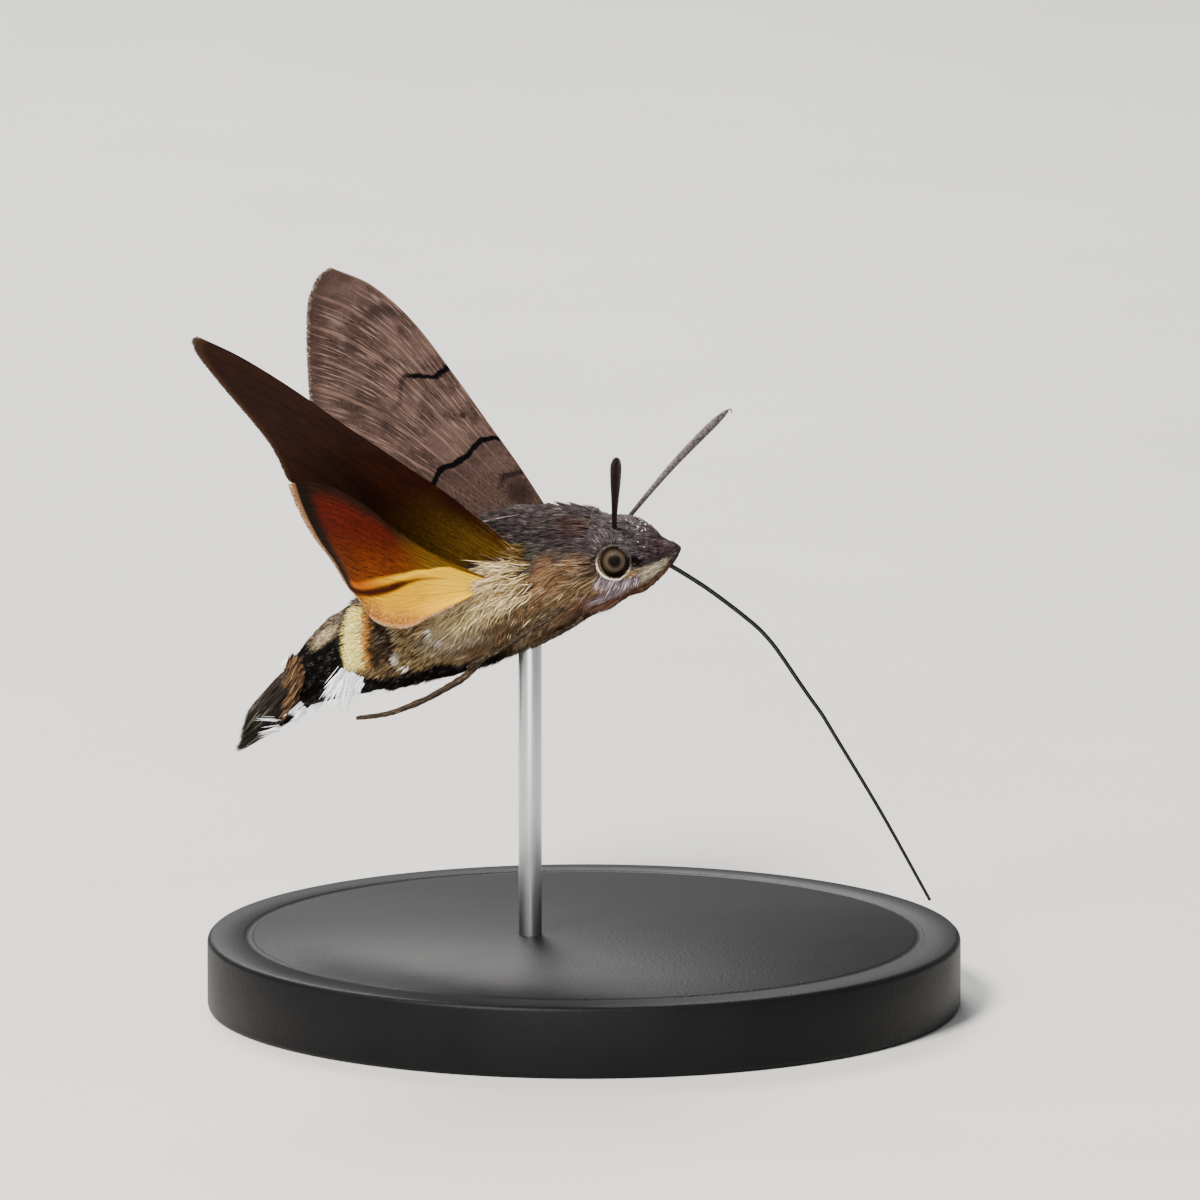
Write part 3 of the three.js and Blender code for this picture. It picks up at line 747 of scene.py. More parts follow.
def make_hair(name, paths, normals, widths, shade, maps, material, slot, depth=0.9):
    """Many tapering three-sided tufts as one piece, each laid along its path of points.

    Maps are each tuft's two numbers in the Lie map and its place in the bake map.
    """
    count, rings = paths.shape[:2]
    ahead = unit(np.gradient(paths, axis=1))
    across = unit(np.cross(ahead, normals))
    up = np.cross(across, ahead)
    half = (widths[:, None] * np.asarray(TAPERS[rings])[None])[..., None] / 2
    corners = np.stack([paths - across * half, paths + across * half, paths + up * half * depth], axis=2)
    points = np.concatenate([corners[:, :-1].reshape(count, -1, 3), paths[:, -1:]], axis=1)
    each = points.shape[1]
    faces = tuft_faces(rings)
    if signed_volume(points[0], faces) < 0:
        faces = faces[:, ::-1]
    triangles = (faces[None] + each * np.arange(count)[:, None, None]).reshape(-1, 3)
    mesh = triangle_mesh(name, points.reshape(-1, 3), triangles)
    share = np.append(np.repeat(np.arange(rings - 1) / (rings - 1), 3), 1.0)
    corner = np.append(np.tile([0.0, 0.5, 1.0], rings - 1), 0.5)
    patch = BAKE_PATCH * np.stack([share, corner], axis=-1)
    lie, bake = maps
    places = {
        "Lie": np.repeat(lie, each, axis=0),
        "OFBake": (np.clip(bake, 0, BAKE_LIMIT)[:, None] + patch[None]).reshape(-1, 2),
    }
    for key, values in places.items():
        layer = mesh.uv_layers.new(name=key)
        layer.data.foreach_set("uv", values[triangles.ravel()].astype(np.float32).ravel())
    for key, values in {"along": np.tile(share, count), "shade": np.repeat(shade, each)}.items():
        mesh.attributes.new(key, "FLOAT", "POINT").data.foreach_set("value", values.astype(np.float32))
    piece = bpy.data.objects.new(name, mesh)
    bpy.context.scene.collection.objects.link(piece)
    mesh.materials.append(material)
    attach(piece, "root")
    return piece


# Coat of the body
TRIES_PER_ROOT = 5
LOCK_STRETCH = 1.5
LOCK_KINDS = 64

# Hair round the eye: its station, the body's half height there, and how far the hair keeps off
EYE_MIDDLE = 10.1
EYE_GIRTH = 2.2
EYE_GAP_MM = 0.02
EYE_REACH_DEG = 60


def body_maps(station, height, side):
    """The Lie map's numbers, alike on both sides, and the bake map's, each with its own place."""
    lie = np.stack([station / LAST_STATION, np.clip(height, -90, 90) / 180 + 0.5], axis=-1)
    turned = np.where(side > 0, height, 180 - height)
    return lie, np.stack([station / LAST_STATION, (turned + 90) / 360], axis=-1)


def body_roots(count, stations, heights, draw):
    """Random roots spread evenly over a zone of the body, on both sides and off the eyes."""
    tries = count * TRIES_PER_ROOT
    station = draw.uniform(*stations, tries)
    height = draw.uniform(*heights, tries)
    side = draw.choice([-1.0, 1.0], tries)
    step = 0.05
    area = girth(station) * (along_body(station + step) - along_body(station - step))
    point = skin_point(station, height, 1.0)
    from_eye = np.hypot(point[:, 0] - EYE["u"], point[:, 2] - EYE["w"])
    on_eye = (from_eye < EYE["radius"] - EYE_GAP_MM) & (np.abs(height) < EYE_REACH_DEG)
    keep = np.flatnonzero((draw.uniform(0, area.max(), tries) < area) & ~on_eye)[:count]
    return station[keep], height[keep], side[keep]


def flow(station, height):
    """The way hair points, as backward and downward parts: round the eye it points away from it."""
    down = by_table([(-90, 0), (-60, 14), (-25, 24), (5, 16), (30, 2), (90, 0)], height)
    down = down * by_table([(0, 0.1), (4, 0.3), (6, 1.0), (10, 0.9), (12, 0.3)], station)
    back = np.stack([-np.cos(np.radians(down)), -np.sin(np.radians(down))], axis=-1)
    before_eye = along_body(station) - along_body(EYE_MIDDLE)
    away = np.stack([before_eye, np.radians(height) * EYE_GIRTH], axis=-1)
    near = 1 - smooth((np.linalg.norm(away, axis=-1, keepdims=True) - EYE["radius"]) / 1.4)
    front = smooth((away[..., :1] - 0.2) / 0.6)
    return unit(lerp(back, unit(away), near * (1 - front) * 0.85))


def sideways(heading):
    return np.stack([-heading[:, 1], heading[:, 0]], axis=-1)


def deal_locks(x, y, side, lock, draw):
    """The lock that each hair belongs to: its own six random numbers, and its middle.

    A lock fills a cell of a staggered grid, in millimetres along the body and round its side.
    """
    column = np.floor(x / (lock * LOCK_STRETCH)).astype(int)
    stagger = 0.5 * (column % 2)
    row = np.floor(y / lock + stagger).astype(int)
    far_row = row + LOCK_KINDS // 2 * (side > 0)
    own = draw.uniform(0, 1, (LOCK_KINDS, LOCK_KINDS, 6))[column % LOCK_KINDS, far_row % LOCK_KINDS]
    middle_x = (column + 0.2 + 0.6 * own[:, 0]) * lock * LOCK_STRETCH
    middle_y = (row + 0.2 + 0.6 * own[:, 1] - stagger) * lock
    return own, np.stack([middle_x, middle_y], axis=-1)


def body_hair(name, count, stations, heights, material, length, width, rise, sway, clump, lock, rings, seed,
              slot="body_fur"):
    """Hair over a zone of the body. It follows the flow, sways in waves and gathers into pointed locks."""
    draw = np.random.default_rng(seed)
    station, height, side = body_roots(count, stations, heights, draw)
    count = len(station)
    x = along_body(station)
    y = np.radians(height) * girth(station)
    own, centre = deal_locks(x, y, side, lock, draw)
    offset = np.stack([x, y], axis=-1) - centre
    heading = flow(station, height)
    waves = np.sin(1.9 * x + 1.3 * y + seed) + np.sin(3.1 * x - 2.3 * y) + 1.2 * (own[:, 2] - 0.5)
    twist = sway * waves / 2 + draw.normal(0, 0.1, count)
    heading = heading * np.cos(twist)[:, None] + sideways(heading) * np.sin(twist)[:, None]
    reach = length * (0.7 + 0.5 * own[:, 3]) * draw.uniform(0.75, 1.1, count)
    lift = rise * (0.55 + 0.6 * own[:, 4]) * draw.uniform(0.7, 1.1, count)
    bend = sway * 0.3 * (own[:, 5] - 0.5) * reach
    paths = []
    for f in np.linspace(0, 1, rings):
        curl = bend * math.sin(math.pi * 1.5 * f)
        gathered = centre + offset * (1 - clump * f)
        at = gathered + heading * (reach * f)[:, None] + sideways(heading) * curl[:, None]
        there = station_at(at[:, 0])
        up = np.degrees(at[:, 1] / girth(there))
        paths.append(skin_point(there, up, side, lift * f**0.8 - 0.05 * (1 - f)))
    shade = np.clip(0.5 * own[:, 2] + 0.5 * draw.uniform(0, 1, count), 0, 1)
    widths = width * draw.uniform(0.65, 1.35, count)
    normals = skin_normal(station, height, side)[:, None]
    maps = body_maps(station, height, side)
    return make_hair(name, np.stack(paths, axis=1), normals, widths, shade, maps, material, slot)


def fan(name, count, roots, tips, material, slot, width, bow, scatter, seed):
    """Long flat tufts from a line of roots to a line of tips, the same on both sides."""
    draw = np.random.default_rng(seed)
    share = np.sort(draw.uniform(0, 1, count))
    start = even_spline(roots, share) + draw.normal(0, scatter * 0.6, (count, 3))
    end = even_spline(tips, share) + draw.normal(0, scatter, (count, 3))
    end = start + (end - start) * draw.uniform(0.6, 1.05, (count, 1))
    outward = unit((start + end) / 2 * [0, 1, 0] + [0.0, -0.2, -0.6])
    paths = bowed(start, (start + end) / 2 + outward * bow, end, 5)
    paths = np.concatenate([paths, paths * MIRROR])
    normals = np.concatenate([outward, outward * MIRROR])[:, None]
    root = np.tile(start, (2, 1))
    station = np.interp(root[:, 0], FINE_AXIS[:, 0], FINE_STATIONS)
    above = root[:, 2] - body_axis(station)[:, 1]
    height = np.degrees(np.arctan2(above, np.abs(root[:, 1]) + 0.05))
    maps = body_maps(station, height, np.repeat([-1.0, 1.0], count))
    widths = np.tile(width * draw.uniform(0.5, 1.3, count), 2)
    shade = np.tile(draw.uniform(0, 1, count), 2)
    return make_hair(name, paths, normals, widths, shade, maps, material, slot, depth=0.3)


# End of the tail fan: place (u, w) of its lower and its upper edge, and half its spread
TAIL_LOW = (-16.9, 13.65)
TAIL_HIGH = (-16.25, 15.75)
TAIL_SPREAD = 2.3


def tail_hair(name, count, material, seed):
    """The fan of long hair that ends the body, wide across and thin downwards. Half of it ends inside."""
    draw = np.random.default_rng(seed)
    station, height, side = body_roots(count, (0.1, 1.7), (-90, 90), draw)
    count = len(station)
    start = skin_point(station, height, side, -0.05)
    swing = start[:, 1] / np.maximum(body_axis(station)[:, 3], 0.5)
    inner = np.where(draw.uniform(0, 1, count) < 0.5, draw.uniform(0, 1, count)**0.6, 1)
    tall = 0.5 + np.sin(np.radians(height)) / 2 * inner
    lateral = swing * TAIL_SPREAD * draw.uniform(0.75, 1.1, count) * inner
    end_u = lerp(TAIL_LOW[0], TAIL_HIGH[0], tall) + 0.25 * lateral**2 * 0.5
    end = np.stack([end_u, lateral, lerp(TAIL_LOW[1], TAIL_HIGH[1], tall)], axis=-1)
    reach = np.clip(draw.normal(0.86, 0.16, count), 0.3, 1.03)[:, None]
    end = start + (end - start) * reach + draw.normal(0, 0.07, (count, 3))
    normal = skin_normal(station, height, side)
    paths = bowed(start, (start + end) / 2 + normal * 0.28, end, 4)
    widths = 0.1 * draw.uniform(0.6, 1.4, count)
    shade = draw.uniform(0, 1, count)
    maps = body_maps(np.minimum(station, 0.7), height, side)
    return make_hair(name, paths, normal[:, None], widths, shade, maps, material, "black_fur")


def wing_root_hair(name, count, material, seed):
    """Long pale hair from under the wing root, spread back over the hindwing's base and the flank."""
    draw = np.random.default_rng(seed)
    low = -12
    high = 15
    station = 7.3 - 1.8 * draw.uniform(0, 1, count)**0.5
    height = draw.uniform(low, high, count)
    side = draw.choice([-1.0, 1.0], count)
    turn = np.radians(lerp(26, -14, (height - low) / (high - low)) + draw.normal(0, 9, count))
    reach = draw.uniform(1.0, 2.6, count)
    lift = draw.uniform(0.2, 0.6, count) + 0.3 * smooth((height + 2) / 14)
    x = along_body(station)
    y = np.radians(height) * girth(station)
    wave = draw.normal(0, 0.12, count)
    paths = []
    for f in np.linspace(0, 1, 5):
        there = station_at(x - reach * f * np.cos(turn))
        up = np.degrees((y - reach * f * np.sin(turn) + wave * math.sin(5 * f)) / girth(there))
        paths.append(skin_point(there, up, side, lift * math.sin(1.9 * f) + 0.1 * f - 0.05))
    normals = skin_normal(station, height, side)[:, None]
    widths = 0.052 * draw.uniform(0.6, 1.4, count)
    shade = draw.uniform(0, 1, count)
    maps = body_maps(station, height, side)
    return make_hair(name, np.stack(paths, axis=1), normals, widths, shade, maps, material, "body_fur")


# Rim of the eye: the station at its middle, and millimetres from station to station there
RIM_MIDDLE = 10.05
RIM_STATION_MM = 1.15


def eye_rim(name, count, material, seed):
    """Short pale scales laid round each eye's edge, broader and paler below."""
    draw = np.random.default_rng(seed)
    turn = draw.uniform(0, 2 * math.pi, count)
    side = draw.choice([-1.0, 1.0], count)
    ring = EYE["radius"] + draw.normal(0.0, 0.025, count)
    low = smooth((0.3 - np.sin(turn + 0.6)) / 1.1)
    paths = []
    for f in np.linspace(0, 1, 4):
        angle = turn + 0.42 * f
        station = RIM_MIDDLE + ring * np.cos(angle) / RIM_STATION_MM
        tall = body_axis(station)[:, 2] - coat_depth(station)
        height = np.degrees(np.arcsin(np.clip((ring * np.sin(angle) - 0.05) / tall, -1, 1)))
        paths.append(skin_point(station, height, side, 0.15 + 0.05 * low))
    station = RIM_MIDDLE + ring * np.cos(turn) / RIM_STATION_MM
    height = np.degrees(np.arcsin(np.clip(ring * np.sin(turn) / EYE_GIRTH, -1, 1)))
    normals = skin_normal(station, height, side)[:, None]
    widths = 0.017 + 0.015 * low
    shade = np.clip(low * 0.75 + draw.uniform(-0.1, 0.25, count), 0, 1)
    maps = body_maps(station, height, side)
    return make_hair(name, np.stack(paths, axis=1), normals, widths, shade, maps, material, "body_fur")


# Skin of the body, from the tail to the beak
SKIN_ROWS = 180
SKIN_COLUMNS = 96
FLESH = [
    "thorax", "abdomen_front", "abdomen_middle", "abdomen_rear", "tail_fan", "head",
    "palp_right", "palp_left",
]


def make_skin(material):
    station = np.linspace(0, LAST_STATION, SKIN_ROWS + 1)[:, None]
    angle = np.linspace(-90, 270, SKIN_COLUMNS + 1)[None]
    folded = np.where(angle > 90, 180 - angle, angle)
    side = np.where(angle > 90, -1.0, 1.0)
    station, folded, side = np.broadcast_arrays(station, folded, side)
    piece = grid(SKIN_ROWS, SKIN_COLUMNS, skin_point(station, folded, side))
    add_map(piece, "Lie", np.stack([station / LAST_STATION, folded / 180 + 0.5], axis=-1).reshape(-1, 2))
    close_tube(piece)
    return finish_piece(piece, "body_skin", material, FLESH)


# Wings
def wing_frame(wing):
    """Directions out along the span, rearwards and up from the upper side, for a left wing."""
    rise = math.radians(wing["rise"])
    sweep = math.radians(wing["sweep"])
    span = np.array([-math.sin(sweep) * math.cos(rise), math.cos(sweep) * math.cos(rise), math.sin(rise)])
    back = unit(np.array([-1.0, 0, 0]) + span * span[0])
    return span, back, np.cross(span, back)


def wing_up(wing):
    return wing_frame(wing)[2] * [1, wing["side"], 1]


def wing_point(wing, s, t, lift):
    span, back, upper = wing_frame(wing)
    s, t, lift = (np.asarray(x, float)[..., None] for x in (s, t, lift))
    point = np.array(wing["root"]) + s * span + t * back + lift * upper
    return point * [1, wing["side"], 1]


def fore_point(wing, s, t):
    turn = np.radians(lerp(ROOT_TURN_DEG, wing["tip_turn"], smooth(np.asarray(s) / TURN_DONE_AT)))
    return wing_point(wing, s, t * np.cos(turn), t * np.sin(turn))


def filled(front, outer, rear, root, r, q):
    """Points filled between four edges that meet at their corners, at shares r outwards, q rearwards."""
    out = r[..., None]
    back = q[..., None]
    corners = ((1 - out) * (1 - back) * np.array(front[0]) + (1 - out) * back * np.array(rear[0])
               + out * (1 - back) * np.array(front[-1]) + out * back * np.array(rear[-1]))
    return (even_spline(front, r) * (1 - back) + even_spline(rear, r) * back
            + even_spline(root, q) * (1 - out) + even_spline(outer, q) * out - corners)


def forewing_places(wing, r, q):
    st = filled(FORE_COSTA, FORE_TERMEN, FORE_INNER, [FORE_COSTA[0], FORE_INNER[0]], r, q)
    return fore_point(wing, st[..., 0], st[..., 1]), st


def hindwing_places(wing, r, q):
    front = [wing_point(wing, s, t, -drop) for s, t, drop in HIND_FRONT]
    blade = [wing_point(wing, s, t, -drop) for s, t, drop in HIND_OUTER]
    rear = [np.array(point) * [1, wing["side"], 1] for point in HIND_LOBE]
    places = filled(front, [front[-1], *blade, rear[-1]], rear, [front[0], rear[0]], r, q)
    return places, np.stack([r, q], axis=-1)


# The Wing map holds millimetres along and across a forewing, as shares of a field with a margin
WING_FIELD = 30.0
WING_MARGIN = 5
WING_ROWS = 130
WING_COLUMNS = 98
VEIN_WIDTH = 0.006


def make_wing(word, kind, places, material):
    """A thin sheet with raised veins, from a grid laid on the wing and given its thickness."""
    wing = WINGS[word]
    r, q = np.meshgrid(np.linspace(0, 1, WING_ROWS + 1), np.linspace(0, 1, WING_COLUMNS + 1), indexing="ij")
    points, st = places(wing, r, q)
    piece = grid(WING_ROWS, WING_COLUMNS, points)
    add_map(piece, "Wing", ((st + WING_MARGIN) / WING_FIELD).reshape(-1, 2))
    add_map(piece, "Span", np.stack([r, q], axis=-1).reshape(-1, 2))
    veins = piece.vertex_groups.new(name="veins")
    near = np.abs(q * VEINS - np.round(q * VEINS)) / VEINS
    weight = (0.3 + 0.7 * np.exp(-(near / VEIN_WIDTH) ** 2) * (1 - 0.6 * r)).ravel()
    for k, w in enumerate(weight):
        veins.add([k], float(w), "REPLACE")
    thickness = MEMBRANE_MM * MM
    apply_modifier(piece, "SOLIDIFY", thickness=thickness, offset=0.0, vertex_group="veins", use_rim=True)
    upper = Vector(set_down(wing_up(wing)) - set_down(np.zeros(3)))
    faces_up = [float(polygon.normal.dot(upper) > 0) for polygon in piece.data.polygons]
    piece.data.attributes.new("upper", "FLOAT", "FACE").data.foreach_set("value", faces_up)
    return finish_piece(piece, f"{kind}_{word}_sheet", material, [f"{kind}_{word}"])


FRINGE_HAIRS = 2000
FRINGE_LENGTH = 0.2
EDGE_INSET = 0.02


def make_fringe(word, kind, places, material, seed):
    """Hair scales along a wing's outer and rear edges, pointing outwards in its plane."""
    wing = WINGS[word]
    draw = np.random.default_rng(seed)
    along = np.sort(draw.uniform(0, 1.7, FRINGE_HAIRS))
    outer = along < 1
    r = np.where(outer, 1.0, 2 - along)
    q = np.where(outer, along, 1.0)
    here, _ = places(wing, r, q)
    inside, _ = places(wing, np.where(outer, r - EDGE_INSET, r), np.where(outer, q, q - EDGE_INSET))
    away = unit(unit(here - inside) + draw.normal(0, 0.07, here.shape))
    normals = np.broadcast_to(wing_up(wing), here.shape)
    reach = FRINGE_LENGTH * draw.uniform(0.6, 1.2, FRINGE_HAIRS)[:, None, None]
    f = np.array([-0.5, 0.3, 1.0])[None, :, None]
    jitter = normals[:, None] * draw.uniform(-0.015, 0.015, FRINGE_HAIRS)[:, None, None]
    paths = here[:, None] + away[:, None] * f * reach + jitter
    widths = draw.uniform(0.04, 0.08, FRINGE_HAIRS)
    shade = draw.uniform(0, 1, FRINGE_HAIRS)
    lie = np.stack([r, q], axis=-1)
    name = f"{kind}_{word}_fringe"
    return make_hair(name, paths, normals[:, None], widths, shade, (lie, lie), material, kind, depth=0.3)


# Black lines of the forewing's upper side: where each stands along the wing, by the place across it
INNER_LINE = [
    (-1.2, 6.7), (-0.7, 7.3), (-0.1, 7.6), (0.5, 7.5), (1.1, 7.3), (2.0, 7.4), (2.8, 7.6), (3.4, 7.2),
    (5.5, 6.6),
]
OUTER_LINE = [
    (-1.4, 12.75), (-0.9, 12.7), (-0.4, 12.6), (0.2, 13.15), (0.9, 13.7), (1.4, 13.4), (2.1, 12.4),
    (6.0, 11.6),
]
SMUDGE_LINE = [(-1.3, 17.0), (-1.0, 17.7), (-0.3, 18.3), (0.6, 18.15), (1.0, 18.0), (2.5, 17.6)]
BASE_LINE = [(-1.0, 4.3), (-0.6, 4.5), (0.2, 4.9), (1.2, 4.4), (3.0, 4.2)]

# A line's table runs over shares of these lengths
ACROSS_MARGIN = 3
ACROSS_FIELD = 10
ALONG_FIELD = 25

# Dusky spots of the upper side: place, radii and strength
DUSKY_SPOTS = [
    ((16.1, -0.6), (0.6, 0.3), 0.4),
    ((17.5, 4.3), (0.5, 0.4), 0.5),
    ((17.2, 2.1), (0.6, 0.3), 0.35),
    ((17.7, 3.1), (0.4, 0.3), 0.35),
    ((19.9, 0.9), (0.8, 0.5), 0.25),
    ((12.0, 3.4), (0.9, 0.5), 0.3),
]


class ForewingMarks(Marks):
    """The markings at a place of a forewing: s along it, t across it, r and q as shares of it."""

    def __init__(self, paint):
        super().__init__(paint)
        x, y = paint.map("Wing")
        self.r, self.q = paint.map("Span")
        self.s = x * WING_FIELD - WING_MARGIN
        self.t = y * WING_FIELD - WING_MARGIN
        self.grain = paint.noise(paint.vector(self.s * 3, self.t * 22), 1.0, 4, 0.65)
        self.dots = paint.noise(paint.place(), 7000, 2)
        self.wobble = (paint.noise(paint.vector(self.s, self.t), 2.2, 3) - 0.5) * 0.9
        self.cloud = paint.noise(paint.vector(self.s, self.t, 3.0), 0.55, 3)
        self.lanes = paint.noise(paint.vector(self.s * 0.6, self.q * 120, 2.0), 1.0, 3)
        lane = self.q * VEINS + 0.5
        whole = paint.node("ShaderNodeMath", {"operation": "FLOOR"}, lane)
        self.vein = paint.band(lane - whole, 0.45, 0.55, 0.04)

    def line(self, table, half, soft, shadow=0.0):
        """1 on a wavy line across the wing, and 1 on it and on the dusk along its inner side."""
        paint = self.paint
        stops = [((place + ACROSS_MARGIN) / ACROSS_FIELD, at / ALONG_FIELD) for place, at in table]
        at = paint.table((self.t + ACROSS_MARGIN) / ACROSS_FIELD, stops) * ALONG_FIELD
        off = self.s - at + self.wobble * 0.35
        return paint.band(off, -half, half, soft), paint.band(off, -shadow, half, shadow * 0.6 + 0.01)


def forewing_above(m):
    """Grey-mauve with pale lanes, mottled at the root, with black wavy lines and dusky spots."""
    paint = m.paint
    m.shade = paint.mix(paint.step(m.grain, 0.3, 0.7), "1d1513", "3e2f29")
    m.lay(paint.step(m.cloud, 0.4, 0.62) * 0.5, "52403a")
    m.lay(paint.step(m.dots, 0.5, 0.75) * 0.4, "1e1513")
    m.lay(paint.step(m.lanes, 0.52, 0.68) * paint.band(m.s, 7.5, 20, 1.5) * 0.42, "90746a")
    m.lay(m.vein * 0.35, "745c50")
    mottled = paint.mix(paint.step(m.grain, 0.35, 0.65), "1a1110", "4c3a33")
    m.lay((1 - paint.step(m.s + m.wobble, 5.6, 7.6)) * 0.65, mottled)
    inner, inner_dusk = m.line(INNER_LINE, 0.19, 0.06, 1.1)
    outer, outer_dusk = m.line(OUTER_LINE, 0.2, 0.1, 0.8)
    smudge, _ = m.line(SMUDGE_LINE, 0.55, 0.5)
    base, _ = m.line(BASE_LINE, 0.22, 0.15)
    fade = paint.step(m.t, 0.5, 1.3)
    outer = outer * (1 - fade) + outer * fade * 0.4 * (1 - paint.step(m.t, 2.0, 3.4))
    m.lay(inner_dusk * 0.35 + outer_dusk * 0.15, "1e1414")
    m.lay(smudge * (1 - paint.step(m.t, 0.6, 1.7)) * paint.step(m.cloud, 0.35, 0.6) * 0.75, "140e0e")
    for at, radii, strength in DUSKY_SPOTS:
        m.lay(paint.spot(m.s + m.wobble * 0.4, m.t + m.wobble * 0.2, at, radii, 0.8) * strength, "18100f")
    m.lay(paint.spot(m.s + m.wobble * 0.1, m.t, (9.6, -0.2), (0.22, 0.18), 0.7) * 0.8, "120a0e")
    m.lay(base * (1 - paint.step(m.t, 0.2, 1.2)) * 0.8, "0a0607")
    m.lay(paint.spot(m.s + m.wobble * 0.4, m.t, (3.5, 0.1), (0.9, 0.7), 1.0) * 0.75, "140c0d")
    m.lay(paint.clamp(inner + outer), "020102")
    m.lay(paint.step(m.r, 0.95, 0.99) * 0.6, "2a1e1a")
    return m.shade


def forewing_below(m):
    """Dark brown deepened by painted shade, an olive root with golden streaks on it and a brown outer edge.
    """
    paint = m.paint
    # Painted shade: the underside's dark brown is deepened towards black.
    m.shade = paint.mix(m.grain, "0c0301", "2a0d03")
    m.lay(paint.step(m.cloud, 0.45, 0.6) * 0.4, "2c1204")
    olive = paint.mix(paint.step(m.grain, 0.3, 0.7), "1e1003", "503a0a")
    m.lay((1 - paint.step(m.s + m.wobble, 1.5, 8.0)) * paint.step(m.t + m.wobble * 0.5, -0.6, 0.8), olive)
    gold = paint.step(m.lanes, 0.5, 0.68) * (1 - paint.step(m.s + m.wobble * 2, 0.0, 4.5))
    m.lay(gold * 0.6, "94702c")
    m.lay(m.vein * 0.35, "060302")
    m.lay(paint.step(m.r, 0.97, 0.99) * 0.7, "3c2414")
    return m.shade


def forewing_material():
    paint = Paint("forewing scales", Roughness=0.8, Specular_IOR_Level=0.03)
    marks = ForewingMarks(paint)
    above = forewing_above(marks)
    below = forewing_below(marks)
    paint.set(Base_Color=paint.mix(paint.attribute("upper"), below, above))
    paint.bump(marks.grain * 0.6 + marks.dots * 0.4, 0.05)
    return paint.material


# Hindwing: where its yellow stripe and its crease, which carries a painted shadow, lie across it, by the
# place along it
STRIPE = [(0.0, 0.0), (0.26, 0.14), (0.37, 0.35), (0.52, 0.51), (0.69, 0.62), (0.84, 0.73), (1.0, 0.8)]
CREASE = [(0.0, 0.3), (0.28, 0.42), (0.46, 0.545), (0.63, 0.66), (0.79, 0.765), (0.9, 0.81), (1.0, 0.85)]


def hindwing_material():
    """Rust disc, dark border, yellow stripe over a fold with painted shadow, and a golden rear lobe."""
    paint = Paint("hindwing scales", Roughness=0.7, Specular_IOR_Level=0.06)
    m = Marks(paint)
    r, q = paint.map("Span")
    place = paint.place()
    grain = paint.step(paint.noise(paint.vector(r * 9, q * 90), 1.0, 4, 0.65), 0.3, 0.7)
    dots = paint.noise(place, 6000, 2)
    wobble = (paint.noise(place, 700, 2) - 0.5) * 0.1
    past_stripe = q - paint.table(r, STRIPE)
    stripe_edge = past_stripe + wobble * 0.2
    crease_edge = q - paint.table(r, CREASE) + wobble * 0.2

    disc_rear = paint.step(past_stripe + wobble, -0.45, -0.02)
    m.shade = paint.mix(disc_rear, paint.mix(grain, "2a0500", "541404"), paint.mix(grain, "3a1602", "6c3206"))
    m.lay(paint.step(dots, 0.45, 0.75) * 0.55, "180400")
    m.lay(1 - paint.step(q + wobble * 0.6, 0.0, 0.15), paint.mix(grain, "0a0401", "221004"))
    m.lay(1 - paint.step(r + wobble, 0.32, 0.55), paint.mix(grain, "2a1a03", "6e4e10"))

    root = 1 - paint.step(r + wobble, 0.15, 0.5)
    golden = paint.mix(root, paint.mix(grain, "ac7800", "cc9800"), paint.mix(grain, "bc9004", "d8b014"))
    tan = paint.mix(paint.step(dots, 0.25, 0.75), "5e3a16", "9c682e")
    margin = paint.step(q + wobble * 1.2 + (r - 0.6) * 0.16, 0.76, 0.95)
    m.lay(paint.step(crease_edge, 0.01, 0.045), paint.mix(margin, golden, tan))
    m.lay(paint.step(stripe_edge, 0.0, 0.03) * (1 - paint.step(r + wobble, 0.4, 0.62)), golden)
    stripe = paint.band(stripe_edge, -0.02, 0.035, 0.02) * paint.step(r, 0.16, 0.3)
    m.lay(stripe, paint.mix(paint.step(r, 0.45, 0.85), "d4a400", "984c06"))
    # Painted shadow in the fold under its ridge, darker outwards and fading out towards the root.
    crease_shadow = paint.band(crease_edge, -0.024, 0.012, 0.016) * paint.step(r + wobble, 0.12, 0.5)
    m.lay(crease_shadow * 0.92, paint.mix(paint.step(r, 0.3, 0.6), "6a4004", "260802"))
    m.lay((1 - paint.step(r + wobble, 0.06, 0.2)) * paint.step(q, 0.2, 0.5), "dcb45c")
    border = paint.step(r + wobble * 0.5, 0.88, 0.95) * (1 - paint.step(q, 0.8, 0.88))
    m.lay(border, paint.mix(grain, "060200", "180b03"))
    m.lay(paint.step(r, 0.975, 0.99) * 0.85, "845c40")
    m.lay(paint.step(q, 0.965, 0.99) * 0.6, "94683c")
    paint.set(Base_Color=m.shade)
    paint.bump(grain * 0.6 + dots * 0.4, 0.05)
    return paint.material


# Eyes
def make_eye(word, material):
    side = SIDES[word]
    deselect()
    bpy.ops.mesh.primitive_uv_sphere_add(segments=64, ring_count=40, radius=1)
    piece = bpy.context.object
    ball = np.zeros(len(piece.data.vertices) * 3, np.float32)
    piece.data.vertices.foreach_get("co", ball)
    ball = ball.reshape(-1, 3)
    look = unit(np.array(EYE_LOOK) * [1, side, 1])
    angle = np.degrees(np.arccos(np.clip(ball @ look, -1, 1))) / 90
    size = [EYE["radius"], EYE["depth"], EYE["radius"]]
    place_vertices(piece, ball * size + [EYE["u"], EYE["v"] * side, EYE["w"]])
    low_front = 0.5 + (ball[:, 0] * 0.7 - ball[:, 2] * 0.7) / 2
    add_map(piece, "Look", np.stack([np.clip(angle, 0, 1), low_front], axis=-1))
    return finish_piece(piece, f"eye_{word}_dome", material, [f"eye_{word}"])


# Rings of the eye from its middle outwards, as shares of a quarter turn
EYE_RINGS = [
    (0.0, "030101"), (0.16, "060302"), (0.24, "1c150f"), (0.32, "3e342a"),
    (0.42, "3a2f24"), (0.5, "261c12"), (0.6, "140e08"), (1.0, "080504"),
]


